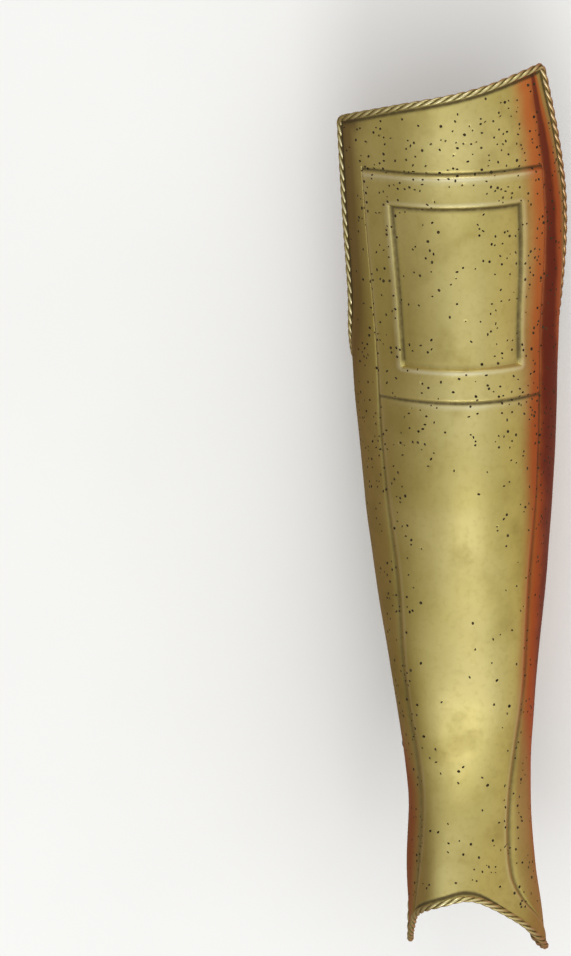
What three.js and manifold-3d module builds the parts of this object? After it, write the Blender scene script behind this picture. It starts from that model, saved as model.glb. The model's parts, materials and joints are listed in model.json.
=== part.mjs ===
// A long brass greave, the leg plate of the left leg from the ankle to above the knee.
// It lies on the back edges of its calf, front face up, with the knee end toward +Y.
// The plate is drawn in the frame of an upright leg (+Z up the leg, -Y to the front, -X the
// inner side of the leg), then turned onto its back and set down on z = 0. Millimetres.
import * as THREE from 'three';
import { mergeVertices } from 'three/addons/utils/BufferGeometryUtils.js';
import Module from 'manifold-3d';

const wasm = await Module();
wasm.setup();

const DEG = Math.PI / 180;

// Sheet, border and laces
const SHEET = 1.2;
const ROPE_RADIUS = 2.15;
const ROPE_SIDES = 8;
const LACE_RADIUS = 1.7;
const LACE_SIDES = 8;
const GAP = 0.35;

// Outline, as heights up the leg
const ARCH_HEIGHT = 56;
const TOP_LOW = 541;
const TOP_HIGH = 575;
const TOP_REACH = 80;
const WING_CORNER = 355;
const WING_END = 435;
const WING_POWER = 1.9;
const KNEE_EDGE_LOW = 81;
const BORDER_INSET = ROPE_RADIUS + GAP;
const BORDER_SETBACK = 1.6;

// Embossing
const PANEL_TOP = 510;
const PANEL_BOTTOM = 370;
const SUNK_TOP = 490;
const SUNK_BOTTOM = 390;
const SUNK_SHARE = 0.66;
const PANEL_RAISE = 1.6;
const BAND_RAISE = 0.8;
const SUNK_DEPTH = 2.0;
const BEVEL = 1.2;
const BEVEL_SHARE = 0.018;

// Strap slots
const SLOT_WIDTH = 5;
const SLOT_INSET = 12;
const UPPER_SLOT = { height: 340, length: 22 };
const LOWER_SLOT = { height: 121, length: 26 };

// How it lies: turned onto its back, then pitched and rolled onto its calf edges
const REST_PITCH = -5.28 * DEG;
const REST_ROLL = 0;

// Routes of the laces, as the greave lies: out through a slot, over the rim and onto the floor
const UPPER_LACE = [
  [-38.3, 44.9, 22],
  [-43.8, 45.2, 19.8],
  [-49.4, 46, 17.1],
  [-52.6, 47, 15.5],
  [-55.4, 48.6, 12.8],
  [-56.7, 50.4, 9.4],
  [-56.1, 52.2, 6.2],
  [-53.6, 54.2, 3.4],
  [-49.9, 56.4, 2],
  [-44.5, 59, 1.9],
  [-37.3, 61.2, 1.9],
  [-30, 61.8, 1.9],
  [-22, 59.2, 1.9],
  [-13, 51.9, 1.9],
  [-8, 40, 1.9],
  [-8, 26, 1.9],
  [-11.4, 12, 1.9],
  [-16.3, -2, 1.9],
  [-18.8, -18.1, 1.9],
  [-14.8, -35.6, 1.9],
  [-4.3, -49.1, 1.9],
];
const LOWER_LACE = [
  [-14.9, -163.3, 31.4],
  [-14.6, -163.5, 39.4],
  [-14.6, -163.7, 47.6],
  [-15.8, -164, 52.1],
  [-18.9, -164.3, 55.3],
  [-23.2, -164.6, 56.6],
  [-26.9, -164.8, 56],
  [-29.5, -164.8, 54.3],
  [-31.4, -164.5, 51.3],
  [-32, -163.8, 47.6],
  [-30.9, -162.5, 40],
  [-27.9, -161.1, 31.8],
  [-24.3, -160.3, 24.4],
  [-21.7, -159.7, 16.4],
  [-20.5, -158.7, 10],
  [-19.1, -155.7, 4.6],
  [-16.2, -150.1, 1.9],
  [-12.3, -143.1, 1.9],
];
const LACE_STEP = 8;

// Sections of the leg plate, from the ankle tips up
const SECTIONS = [
  { height: 0, ridge: -9.5, inner: 23, outer: 62.5, front: -66, side: -1, back: 64, corner: 0.1 },
  { height: 30, ridge: -9.5, inner: 23.5, outer: 60.5, front: -62, side: -6, back: 58, corner: 0.1 },
  { height: 65, ridge: -9.5, inner: 24.5, outer: 56, front: -55.5, side: -10, back: 50, corner: 0.08 },
  { height: 115, ridge: -4, inner: 28.7, outer: 48, front: -45.5, side: -6.5, back: 70, corner: 0 },
  { height: 185, ridge: 0.5, inner: 42, outer: 48, front: -47, side: -1.5, back: 93, corner: -0.08 },
  { height: 255, ridge: 5, inner: 57, outer: 51, front: -48, side: 3, back: 94, corner: -0.02 },
  { height: 325, ridge: 5, inner: 64, outer: 56.5, front: -51, side: 9.5, back: 86, corner: 0.02 },
  { height: 405, ridge: 4, inner: 68.5, outer: 60.5, front: -50, side: 4.5, back: 88, corner: 0.1 },
  { height: 485, ridge: 1, inner: 70, outer: 67.5, front: -49, side: 1, back: 70, corner: 0.1 },
  { height: 585, ridge: -8.5, inner: 64.5, outer: 66, front: -53.5, side: -16, back: 55, corner: 0.1 },
];

// Half angle of the raised front band, and how far the band swings to the outer side
const BAND = [
  { height: 0, angle: 100, swing: 2 },
  { height: 12, angle: 91, swing: 3 },
  { height: 30, angle: 74, swing: 5 },
  { height: 48, angle: 56, swing: 6 },
  { height: 68, angle: 46, swing: 6.5 },
  { height: 115, angle: 42, swing: 4.5 },
  { height: 185, angle: 46.5, swing: 1 },
  { height: 255, angle: 46, swing: -1 },
  { height: 325, angle: 52, swing: -1 },
  { height: 405, angle: 57.5, swing: -0.5 },
  { height: 510, angle: 60, swing: 0 },
  { height: 585, angle: 61, swing: 0 },
];

// Lower edge: an arch over the instep that runs out into two rounded tips
const LOWER_EDGE = [
  { angle: -118, height: 18 },
  { angle: -112, height: 14 },
  { angle: -101, height: 11.5 },
  { angle: -86, height: 20 },
  { angle: -60, height: 37.5 },
  { angle: -30, height: 47.5 },
  { angle: 0, height: 54 },
  { angle: 15, height: 55.5 },
  { angle: 30, height: 51 },
  { angle: 59, height: 33.5 },
  { angle: 76, height: 18 },
  { angle: 90, height: 8.5 },
  { angle: 101, height: 5.5 },
  { angle: 112, height: 8 },
  { angle: 118, height: 12 },
];

// Angle of the back edges round the calf, and of the outer edge beside the knee
const CALF_EDGE = [
  { height: 0, angle: 108 },
  { height: 8, angle: 112 },
  { height: 40, angle: 131 },
  { height: 65, angle: 141 },
  { height: 115, angle: 137 },
  { height: 185, angle: 149 },
  { height: 255, angle: 140.5 },
  { height: 325, angle: 134 },
  { height: 415, angle: 117 },
];
const KNEE_EDGE_HIGH = [
  { height: 362, angle: 94 },
  { height: 415, angle: 94 },
  { height: 460, angle: 89 },
  { height: 500, angle: 85 },
  { height: 585, angle: 72 },
];

// Grid of the plate: shares of the band and of the side, and heights of the rows
const BAND_SHARES = [0.17, 0.34, 0.5];
const FRAME_SHARES = [0.76, 0.84, 0.91];
const SIDE_SHARES = [0.16, 0.33, 0.5, 0.67, 0.84, 1];
const FAN_FOOT = 90;
const FAN_STEPS = 5;
const TOP_STEPS = 3;
const CALF_ROWS = [112, 134, 156, 178, 200, 222, 244, 266, 288, 310, 332];

/** Smooth curve through one column of a table, by height or by angle. */
function profile(table, column, along = 'height') {
  const slope = (a, b) => (b[column] - a[column]) / (b[along] - a[along]);
  const tangents = table.map((row, i) => {
    const before = table[Math.max(i - 1, 0)];
    const after = table[Math.min(i + 1, table.length - 1)];
    return slope(before, after);
  });
  return (place) => {
    const clamped = THREE.MathUtils.clamp(place, table[0][along], table.at(-1)[along]);
    const found = table.findIndex((row) => row[along] >= clamped);
    const i = Math.max(found, 1);
    const span = table[i][along] - table[i - 1][along];
    const t = (clamped - table[i - 1][along]) / span;
    const t2 = t * t;
    const t3 = t2 * t;
    const start = (2 * t3 - 3 * t2 + 1) * table[i - 1][column];
    const end = (3 * t2 - 2 * t3) * table[i][column];
    const pull = (t3 - 2 * t2 + t) * tangents[i - 1] + (t3 - t2) * tangents[i];
    return start + end + pull * span;
  };
}

const section = {};
for (const column of ['ridge', 'inner', 'outer', 'front', 'side', 'back', 'corner']) {
  section[column] = profile(SECTIONS, column);
}
const bandAngle = profile(BAND, 'angle');
const bandSwing = profile(BAND, 'swing');
const calfEdge = profile(CALF_EDGE, 'angle');
const kneeEdgeHigh = profile(KNEE_EDGE_HIGH, 'angle');
const lowerEdge = profile(LOWER_EDGE, 'height', 'angle');

/** Point of the plain leg form at an angle round it (0 front, negative inner) and a height. */
function legPoint(angle, height) {
  const sin = Math.sin(angle * DEG);
  const cos = Math.cos(angle * DEG);
  const middle = (section.inner(height) + section.outer(height)) / 2;
  const lean = (section.outer(height) - section.inner(height)) / 2;
  const side = section.side(height);
  const pinch = cos > 0 ? 1 - section.corner(height) * Math.sin(2 * angle * DEG) ** 2 : 1;
  const depth = cos > 0 ? (section.front(height) - side) * cos * pinch : -section.back(height) * cos;
  const x = section.ridge(height) + (middle * sin + lean * sin * sin) * pinch;
  return new THREE.Vector3(x, side + depth, height);
}

/** Outward normal of the plain leg form. */
function legNormal(angle, height) {
  const around = legPoint(angle + 0.5, height).sub(legPoint(angle - 0.5, height));
  const up = legPoint(angle, height + 1).sub(legPoint(angle, height - 1));
  return around.cross(up).normalize();
}

/** Angle from the front to the back edge of one side, at a height. */
function edgeAngle(height, side) {
  const knee = side < 0 ? KNEE_EDGE_LOW : kneeEdgeHigh(height);
  if (height >= WING_END) {
    return knee;
  }
  if (height <= WING_CORNER) {
    return calfEdge(height);
  }
  const share = ((WING_END - height) / (WING_END - WING_CORNER)) ** WING_POWER;
  return knee + (calfEdge(WING_CORNER) - knee) * share;
}

/** Height of the top edge, which climbs from the inner side to the outer side. */
function upperEdge(angle) {
  return THREE.MathUtils.mapLinear(angle, -TOP_REACH, TOP_REACH, TOP_LOW, TOP_HIGH);
}

/** Degrees round the leg that cover a distance along the sheet. */
function degreesFor(distance, angle, height) {
  const step = legPoint(angle + 0.5, height).distanceTo(legPoint(angle - 0.5, height));
  return distance / step;
}

/** Columns of one side: the band's shares come first (0 to 1), then the side's (1 to 2). */
function columnShares() {
  const sunk = [SUNK_SHARE - BEVEL_SHARE, SUNK_SHARE + BEVEL_SHARE];
  const rim = [...FRAME_SHARES, 1 - 2 * BEVEL_SHARE, 1];
  return [...BAND_SHARES, ...sunk, ...rim, ...SIDE_SHARES.map((share) => 1 + share)];
}

/** Angle round the leg of a column on one side, at a height. */
function columnAngle(share, side, height) {
  const band = bandAngle(height) + side * bandSwing(height);
  const edge = edgeAngle(height, side);
  const inset = degreesFor(BORDER_INSET, side * edge, height);
  if (share <= 1) {
    return side * band * share;
  }
  const rim = Math.max(edge - inset, band + 4);
  return side * (band + (rim - band) * (share - 1));
}

/** Foot of a column: its angle and height where it meets the lower edge. */
function columnFoot(share, side) {
  let height = ARCH_HEIGHT;
  for (let i = 0; i < 40; i++) {
    height += 0.5 * (lowerEdge(columnAngle(share, side, height)) - height);
  }
  return height + BORDER_INSET;
}

/** Head of a column: its height where it meets the top edge. */
function columnHead(share, side) {
  return upperEdge(columnAngle(share, side, TOP_LOW)) - BORDER_INSET;
}

/** Heights of a column's points from the lower edge to the top edge. */
function columnHeights(share, side) {
  const foot = columnFoot(share, side);
  const head = columnHead(share, side);
  const heights = [];
  for (let i = 0; i < FAN_STEPS; i++) {
    heights.push(THREE.MathUtils.lerp(foot, FAN_FOOT, i / FAN_STEPS));
  }
  heights.push(FAN_FOOT, ...CALF_ROWS, WING_CORNER);
  heights.push(PANEL_BOTTOM - BEVEL, PANEL_BOTTOM + BEVEL, 380);
  heights.push(SUNK_BOTTOM - BEVEL, SUNK_BOTTOM + BEVEL, 402, 416, 440, 465);
  heights.push(SUNK_TOP - BEVEL, SUNK_TOP + BEVEL);
  heights.push(PANEL_TOP - BEVEL, PANEL_TOP + BEVEL);
  for (let i = 1; i <= TOP_STEPS; i++) {
    heights.push(THREE.MathUtils.lerp(PANEL_TOP + BEVEL, head, i / TOP_STEPS));
  }
  return heights;
}

/** How far the embossed face stands out from the plain leg form. */
function relief(share, height) {
  const inBand = share <= 1 - BEVEL_SHARE;
  if (!inBand || height > PANEL_TOP) {
    return 0;
  }
  if (height < PANEL_BOTTOM) {
    return BAND_RAISE;
  }
  const inSunk = share < SUNK_SHARE && height > SUNK_BOTTOM && height < SUNK_TOP;
  return inSunk ? PANEL_RAISE - SUNK_DEPTH : PANEL_RAISE;
}

/** One column of the plate: its points on the outer and inner faces. */
function plateColumn(share, side) {
  return columnHeights(share, side).map((height) => {
    const angle = columnAngle(share, side, height);
    const normal = legNormal(angle, height);
    const outer = legPoint(angle, height).addScaledVector(normal, relief(share, height));
    const inner = outer.clone().addScaledVector(normal, -SHEET);
    return { outer, inner };
  });
}

/** All columns of the plate, from the inner back edge round the front to the outer one. */
function plateColumns() {
  const shares = columnShares();
  const innerSide = [...shares].reverse().map((share) => plateColumn(share, -1));
  const outerSide = shares.map((share) => plateColumn(share, 1));
  return [...innerSide, plateColumn(0, 1), ...outerSide];
}

/** Closed thin shell over a grid of columns, each a list of outer and inner points. */
function shellGeometry(columns) {
  const across = columns.length;
  const along = columns[0].length;
  const positions = [];
  for (const face of ['outer', 'inner']) {
    for (const column of columns) {
      for (const point of column) {
        positions.push(...point[face].toArray());
      }
    }
  }
  const index = (face, i, j) => (face * across + i) * along + j;
  const triangles = [];
  const quad = (a, b, c, d) => triangles.push(a, b, c, a, c, d);
  for (let i = 0; i < across - 1; i++) {
    for (let j = 0; j < along - 1; j++) {
      quad(index(0, i, j), index(0, i + 1, j), index(0, i + 1, j + 1), index(0, i, j + 1));
      quad(index(1, i, j + 1), index(1, i + 1, j + 1), index(1, i + 1, j), index(1, i, j));
    }
  }
  for (let i = 0; i < across - 1; i++) {
    quad(index(1, i, 0), index(1, i + 1, 0), index(0, i + 1, 0), index(0, i, 0));
    const top = along - 1;
    quad(index(0, i, top), index(0, i + 1, top), index(1, i + 1, top), index(1, i, top));
  }
  for (let j = 0; j < along - 1; j++) {
    quad(index(0, 0, j), index(0, 0, j + 1), index(1, 0, j + 1), index(1, 0, j));
    const last = across - 1;
    quad(index(1, last, j), index(1, last, j + 1), index(0, last, j + 1), index(0, last, j));
  }
  const geometry = new THREE.BufferGeometry();
  geometry.setAttribute('position', new THREE.Float32BufferAttribute(positions, 3));
  geometry.setIndex(triangles);
  return geometry;
}

/** Manifold solid of a geometry, with its shared corners merged. */
function toSolid(geometry) {
  const bare = geometry.clone();
  bare.deleteAttribute('normal');
  bare.deleteAttribute('uv');
  const merged = mergeVertices(bare);
  const vertProperties = new Float32Array(merged.attributes.position.array);
  const triVerts = new Uint32Array(merged.index.array);
  return new wasm.Manifold(new wasm.Mesh({ numProp: 3, vertProperties, triVerts }));
}

/** Geometry of a manifold solid. */
function toGeometry(solid) {
  const mesh = solid.getMesh();
  const geometry = new THREE.BufferGeometry();
  geometry.setAttribute('position', new THREE.BufferAttribute(mesh.vertProperties, 3));
  geometry.setIndex(new THREE.BufferAttribute(mesh.triVerts, 1));
  geometry.computeVertexNormals();
  return geometry;
}

/** Frame of a slot: its middle on the sheet, along the back edge, across it and outward. */
function slotFrame(slot, side) {
  const place = (height) => {
    const edge = side * edgeAngle(height, side);
    return edge - side * degreesFor(SLOT_INSET + BORDER_INSET, edge, height);
  };
  const half = slot.length / 2;
  const low = legPoint(place(slot.height - half), slot.height - half);
  const high = legPoint(place(slot.height + half), slot.height + half);
  const middle = legPoint(place(slot.height), slot.height);
  const outward = legNormal(place(slot.height), slot.height);
  const along = high.sub(low).normalize();
  const across = new THREE.Vector3().crossVectors(outward, along).normalize();
  return { middle, along, across, outward: new THREE.Vector3().crossVectors(along, across) };
}

/** Straight-sided cutter with round ends for one strap slot. */
function slotCutter(slot, side) {
  const radius = SLOT_WIDTH / 2;
  const reach = slot.length / 2 - radius;
  const outline = new THREE.Shape();
  outline.absarc(reach, 0, radius, -Math.PI / 2, Math.PI / 2);
  outline.absarc(-reach, 0, radius, Math.PI / 2, 1.5 * Math.PI);
  const depth = 8;
  const cutter = new THREE.ExtrudeGeometry(outline, { depth, bevelEnabled: false, curveSegments: 4 });
  cutter.translate(0, 0, -depth / 2);
  const frame = slotFrame(slot, side);
  const turn = new THREE.Matrix4().makeBasis(frame.along, frame.across, frame.outward);
  turn.setPosition(frame.middle);
  return cutter.applyMatrix4(turn);
}

/** The embossed plate with its four strap slots. */
function plateGeometry(columns) {
  let solid = toSolid(shellGeometry(columns));
  for (const side of [-1, 1]) {
    for (const slot of [UPPER_SLOT, LOWER_SLOT]) {
      solid = solid.subtract(toSolid(slotCutter(slot, side)));
    }
  }
  return toGeometry(solid);
}

/** Middle line of the border beside a run of rim points, each with a point further in. */
function borderPath(rim, further) {
  return rim.map((point, i) => {
    const before = rim[Math.max(i - 1, 0)];
    const after = rim[Math.min(i + 1, rim.length - 1)];
    const along = after.clone().sub(before).normalize();
    const outward = point.clone().sub(further[i]);
    outward.addScaledVector(along, -outward.dot(along)).normalize();
    return point.clone().addScaledVector(outward, BORDER_INSET);
  });
}

/** Round bar with mitred bends through a list of points. */
function barGeometry(points, radius, sides) {
  const directions = points.slice(1).map((point, i) => point.clone().sub(points[i]).normalize());
  const positions = [];
  let across = new THREE.Vector3(1, 0, 0);
  if (Math.abs(directions[0].x) > 0.9) {
    across = new THREE.Vector3(0, 0, 1);
  }
  points.forEach((point, i) => {
    const entering = directions[Math.max(i - 1, 0)];
    const leaving = directions[Math.min(i, directions.length - 1)];
    across.addScaledVector(entering, -across.dot(entering)).normalize();
    const other = new THREE.Vector3().crossVectors(entering, across);
    const mitre = entering.clone().add(leaving).normalize();
    for (let k = 0; k < sides; k++) {
      const turn = (2 * Math.PI * k) / sides;
      const spoke = across.clone().multiplyScalar(radius * Math.cos(turn));
      spoke.addScaledVector(other, radius * Math.sin(turn));
      spoke.addScaledVector(entering, -spoke.dot(mitre) / entering.dot(mitre));
      positions.push(...point.clone().add(spoke).toArray());
    }
  });
  const triangles = [];
  for (let i = 0; i < points.length - 1; i++) {
    for (let k = 0; k < sides; k++) {
      const a = i * sides + k;
      const b = i * sides + ((k + 1) % sides);
      triangles.push(a, b, b + sides, a, b + sides, a + sides);
    }
  }
  const last = (points.length - 1) * sides;
  for (let k = 1; k < sides - 1; k++) {
    triangles.push(0, k + 1, k);
    triangles.push(last, last + k, last + k + 1);
  }
  const geometry = new THREE.BufferGeometry();
  geometry.setAttribute('position', new THREE.Float32BufferAttribute(positions, 3));
  geometry.setIndex(triangles);
  geometry.computeVertexNormals();
  return geometry;
}

/** Points halfway through the sheet along one line of the grid. */
function middlePoints(line) {
  return line.map((point) => point.outer.clone().lerp(point.inner, 0.5));
}

/** Lengthens a path at both ends, or shortens it with an amount below zero. */
function stretched(points, amount) {
  const longer = points.map((point) => point.clone());
  const last = points.length - 1;
  const startWay = points[0].clone().sub(points[1]).normalize();
  const endWay = points[last].clone().sub(points[last - 1]).normalize();
  longer[0].addScaledVector(startWay, amount);
  longer[last].addScaledVector(endWay, amount);
  return longer;
}

/** Middle lines of the four lengths of roped border. */
function borderPaths(columns) {
  const last = columns.length - 1;
  const top = columns[0].length - 1;
  const row = (j) => columns.map((column) => column[j]);
  const run = (line, inward) => borderPath(middlePoints(line), middlePoints(inward));
  const cover = BORDER_INSET + ROPE_RADIUS;
  return {
    rope_inner_edge: stretched(run(columns[0], columns[1]), -BORDER_SETBACK),
    rope_outer_edge: stretched(run(columns[last], columns[last - 1]), -BORDER_SETBACK),
    rope_top_edge: stretched(run(row(top), row(top - 1)), cover),
    rope_ankle_edge: run(row(0), row(1)),
  };
}

const brass = { color: 0x9c8b4c, roughness: 0.32, metalness: 1 };
const leather = { color: 0x1a1817, roughness: 0.6, metalness: 0 };

/** Round leather thong along a route. */
function laceGeometry(route) {
  const path = new THREE.CatmullRomCurve3(route.map((point) => new THREE.Vector3(...point)));
  const ring = [];
  for (let k = 0; k < LACE_SIDES; k++) {
    const turn = (2 * Math.PI * k) / LACE_SIDES;
    ring.push(new THREE.Vector2(LACE_RADIUS * Math.cos(turn), LACE_RADIUS * Math.sin(turn)));
  }
  const steps = Math.round(path.getLength() / LACE_STEP);
  const settings = { steps, extrudePath: path, bevelEnabled: false };
  return new THREE.ExtrudeGeometry(new THREE.Shape(ring), settings);
}

/** Mesh with a name and a material of its own. */
function named(name, geometry, look) {
  const mesh = new THREE.Mesh(geometry, new THREE.MeshStandardMaterial(look));
  mesh.name = name;
  return mesh;
}

/** Plate and border of the greave, in the frame of the upright leg. */
function buildGreave() {
  const greave = new THREE.Group();
  const columns = plateColumns();
  greave.add(named('greave_plate', plateGeometry(columns), brass));
  for (const [name, path] of Object.entries(borderPaths(columns))) {
    const bar = barGeometry(path, ROPE_RADIUS, ROPE_SIDES);
    greave.add(named(name, bar, brass));
  }
  return greave;
}

/** Turns the greave onto its back and sets it down with its middle over the origin. */
function layDown(greave) {
  greave.rotation.set(-Math.PI / 2 + REST_PITCH, REST_ROLL, 0);
  greave.updateMatrixWorld(true);
  const box = new THREE.Box3().setFromObject(greave, true);
  const middle = box.getCenter(new THREE.Vector3());
  greave.position.set(-middle.x, -middle.y, -box.min.z);
  greave.updateMatrixWorld(true);
}

const part = new THREE.Group();
const greave = buildGreave();
layDown(greave);
part.add(greave);
part.add(named('upper_lace', laceGeometry(UPPER_LACE), leather));
part.add(named('lower_lace', laceGeometry(LOWER_LACE), leather));

export default part;
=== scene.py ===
"""Looks of a long brass greave: embossed and pitted plate, roped border and leather laces.

Its plate and border are drawn again here with finer detail, on the same leg form, and stand for
the plain ones. Sizes inside the classes are millimetres in the frame of an upright leg (+Z up
the leg, -Y to the front, -X the inner side); Placing.world() turns them down onto the floor and
into metres.
"""

import json
import logging
import math
from dataclasses import dataclass
from enum import Enum

import bpy
import numpy as np
from bpy.types import ID, Material, Mesh, Node, NodeTree, Object
from bpy.types import NodeSocket as Socket
from mathutils import Matrix, Vector
from mathutils.kdtree import KDTree

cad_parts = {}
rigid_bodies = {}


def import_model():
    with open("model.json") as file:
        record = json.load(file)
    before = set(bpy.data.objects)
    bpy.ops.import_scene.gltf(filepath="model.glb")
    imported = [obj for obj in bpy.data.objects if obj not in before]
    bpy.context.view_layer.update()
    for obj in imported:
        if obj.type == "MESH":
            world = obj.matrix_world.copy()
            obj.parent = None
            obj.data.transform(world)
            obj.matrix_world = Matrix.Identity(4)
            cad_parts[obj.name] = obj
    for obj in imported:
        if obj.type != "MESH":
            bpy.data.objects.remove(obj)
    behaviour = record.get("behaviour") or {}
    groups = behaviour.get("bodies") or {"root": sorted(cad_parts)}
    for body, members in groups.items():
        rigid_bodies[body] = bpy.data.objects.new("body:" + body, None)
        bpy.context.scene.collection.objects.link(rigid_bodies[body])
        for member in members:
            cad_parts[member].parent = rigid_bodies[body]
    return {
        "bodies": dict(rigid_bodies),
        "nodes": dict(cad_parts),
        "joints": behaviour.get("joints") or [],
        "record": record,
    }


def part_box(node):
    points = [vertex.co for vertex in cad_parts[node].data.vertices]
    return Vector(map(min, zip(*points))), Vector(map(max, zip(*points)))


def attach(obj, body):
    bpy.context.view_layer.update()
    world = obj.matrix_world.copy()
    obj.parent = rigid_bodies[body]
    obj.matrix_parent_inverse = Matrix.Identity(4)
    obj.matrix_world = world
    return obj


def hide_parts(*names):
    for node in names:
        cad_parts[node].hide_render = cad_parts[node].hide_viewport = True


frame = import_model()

log = logging.getLogger("greave")
MM = 0.001

Array = np.ndarray


class Side(Enum):
    """The two sides of the leg, as the sign of x."""

    INNER = -1
    OUTER = 1


class Slot(Enum):
    """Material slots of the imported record."""

    PLATE = "plate_brass"
    BORDER = "border_brass"
    LACE = "lace_leather"


# --- Small helpers -------------------------------------------------------------------------


def smooth_step(value: Array, half_width: float) -> Array:
    """Soft step from 0 to 1 about zero.

    Args:
        value: Signed distances.
        half_width: Distance either side of zero over which the step happens.

    Returns:
        The step's height at each distance.
    """
    t = np.clip(value / (2 * half_width) + 0.5, 0.0, 1.0)
    return t * t * t * (t * (6 * t - 15) + 10)


def ridge(value: Array, half_width: float) -> Array:
    """Bell curve of height 1 about zero."""
    return np.exp(-((value / half_width) ** 2))


def ramp(value: Array, start: Array, length: float) -> Array:
    """Straight climb from 0 to 1 over a length from its start."""
    return np.clip((value - start) / length, 0, 1)


def between(t: Array, start: float, end: float, first: Array, last: Array) -> Array:
    """Point on the way from the first to the last as t goes from start to end."""
    return (end - t) / (end - start) * first + (t - start) / (end - start) * last


def graded(*runs: tuple[float, float, int]) -> Array:
    """Rising values with their own spacing in each run.

    Args:
        runs: Start, end and number of steps of each run, each starting where the last ended.

    Returns:
        All values, without repeats.
    """
    parts = [np.linspace(start, end, steps + 1)[:-1] for start, end, steps in runs]
    return np.concatenate([*parts, [runs[-1][1]]])


def run_length(points: Array) -> Array:
    """Length of a run of points up to each of them."""
    return np.concatenate([[0], np.cumsum(np.linalg.norm(np.diff(points, axis=0), axis=1))])


def linked(name: str, data: ID) -> Object:
    """New object in the scene."""
    made = bpy.data.objects.new(name, data)
    bpy.context.scene.collection.objects.link(made)
    return made


def mesh_object(name: str, points: Array, faces: list, smooth: bool = True) -> Object:
    """Makes a mesh object at the origin.

    Args:
        name: Name of the object and of its mesh.
        points: Places of the vertices in metres.
        faces: Vertex numbers of each face.
        smooth: Whether its faces are shaded smooth.

    Returns:
        The linked object.
    """
    mesh = bpy.data.meshes.new(name)
    mesh.from_pydata(np.asarray(points).tolist(), [], faces)
    mesh.polygons.foreach_set("use_smooth", [smooth] * len(mesh.polygons))
    mesh.update()
    return linked(name, mesh)


def plain_copy(source: Object, name: str) -> Object:
    """Turns an object with live modifiers into a plain mesh object and removes the source.

    Args:
        source: The object whose evaluated shape is kept.
        name: Name of the new object.

    Returns:
        The new object, with no modifiers.
    """
    bpy.context.view_layer.update()
    evaluated = source.evaluated_get(bpy.context.evaluated_depsgraph_get())
    mesh = bpy.data.meshes.new_from_object(evaluated)
    bpy.data.objects.remove(source)
    mesh.name = name
    return linked(name, mesh)


def read_mask(mesh: Mesh, name: str) -> Array:
    """Value of an attribute at every vertex."""
    values = np.zeros(len(mesh.vertices), np.float32)
    mesh.attributes[name].data.foreach_get("value", values)
    return values


def write_mask(mesh: Mesh, name: str, values: Array) -> None:
    """Fills an attribute, which is added where it is missing, at every vertex."""
    if name not in mesh.attributes:
        mesh.attributes.new(name, "FLOAT", "POINT")
    mesh.attributes[name].data.foreach_set("value", values.astype(np.float32))


def report(piece: Object) -> None:
    """Logs a finished piece with its size and number of triangles."""
    triangles = sum(len(face.vertices) - 2 for face in piece.data.polygons)
    millimetres = " x ".join(f"{side / MM:.0f}" for side in piece.dimensions)
    log.info("%s: %s mm, %s triangles", piece.name, millimetres, triangles)


def finish_piece(piece: Object, slot: Slot, *nodes: str) -> None:
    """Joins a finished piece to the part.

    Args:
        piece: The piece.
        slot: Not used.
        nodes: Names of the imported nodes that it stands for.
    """
    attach(piece, "root")
    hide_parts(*nodes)
    report(piece)


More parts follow.
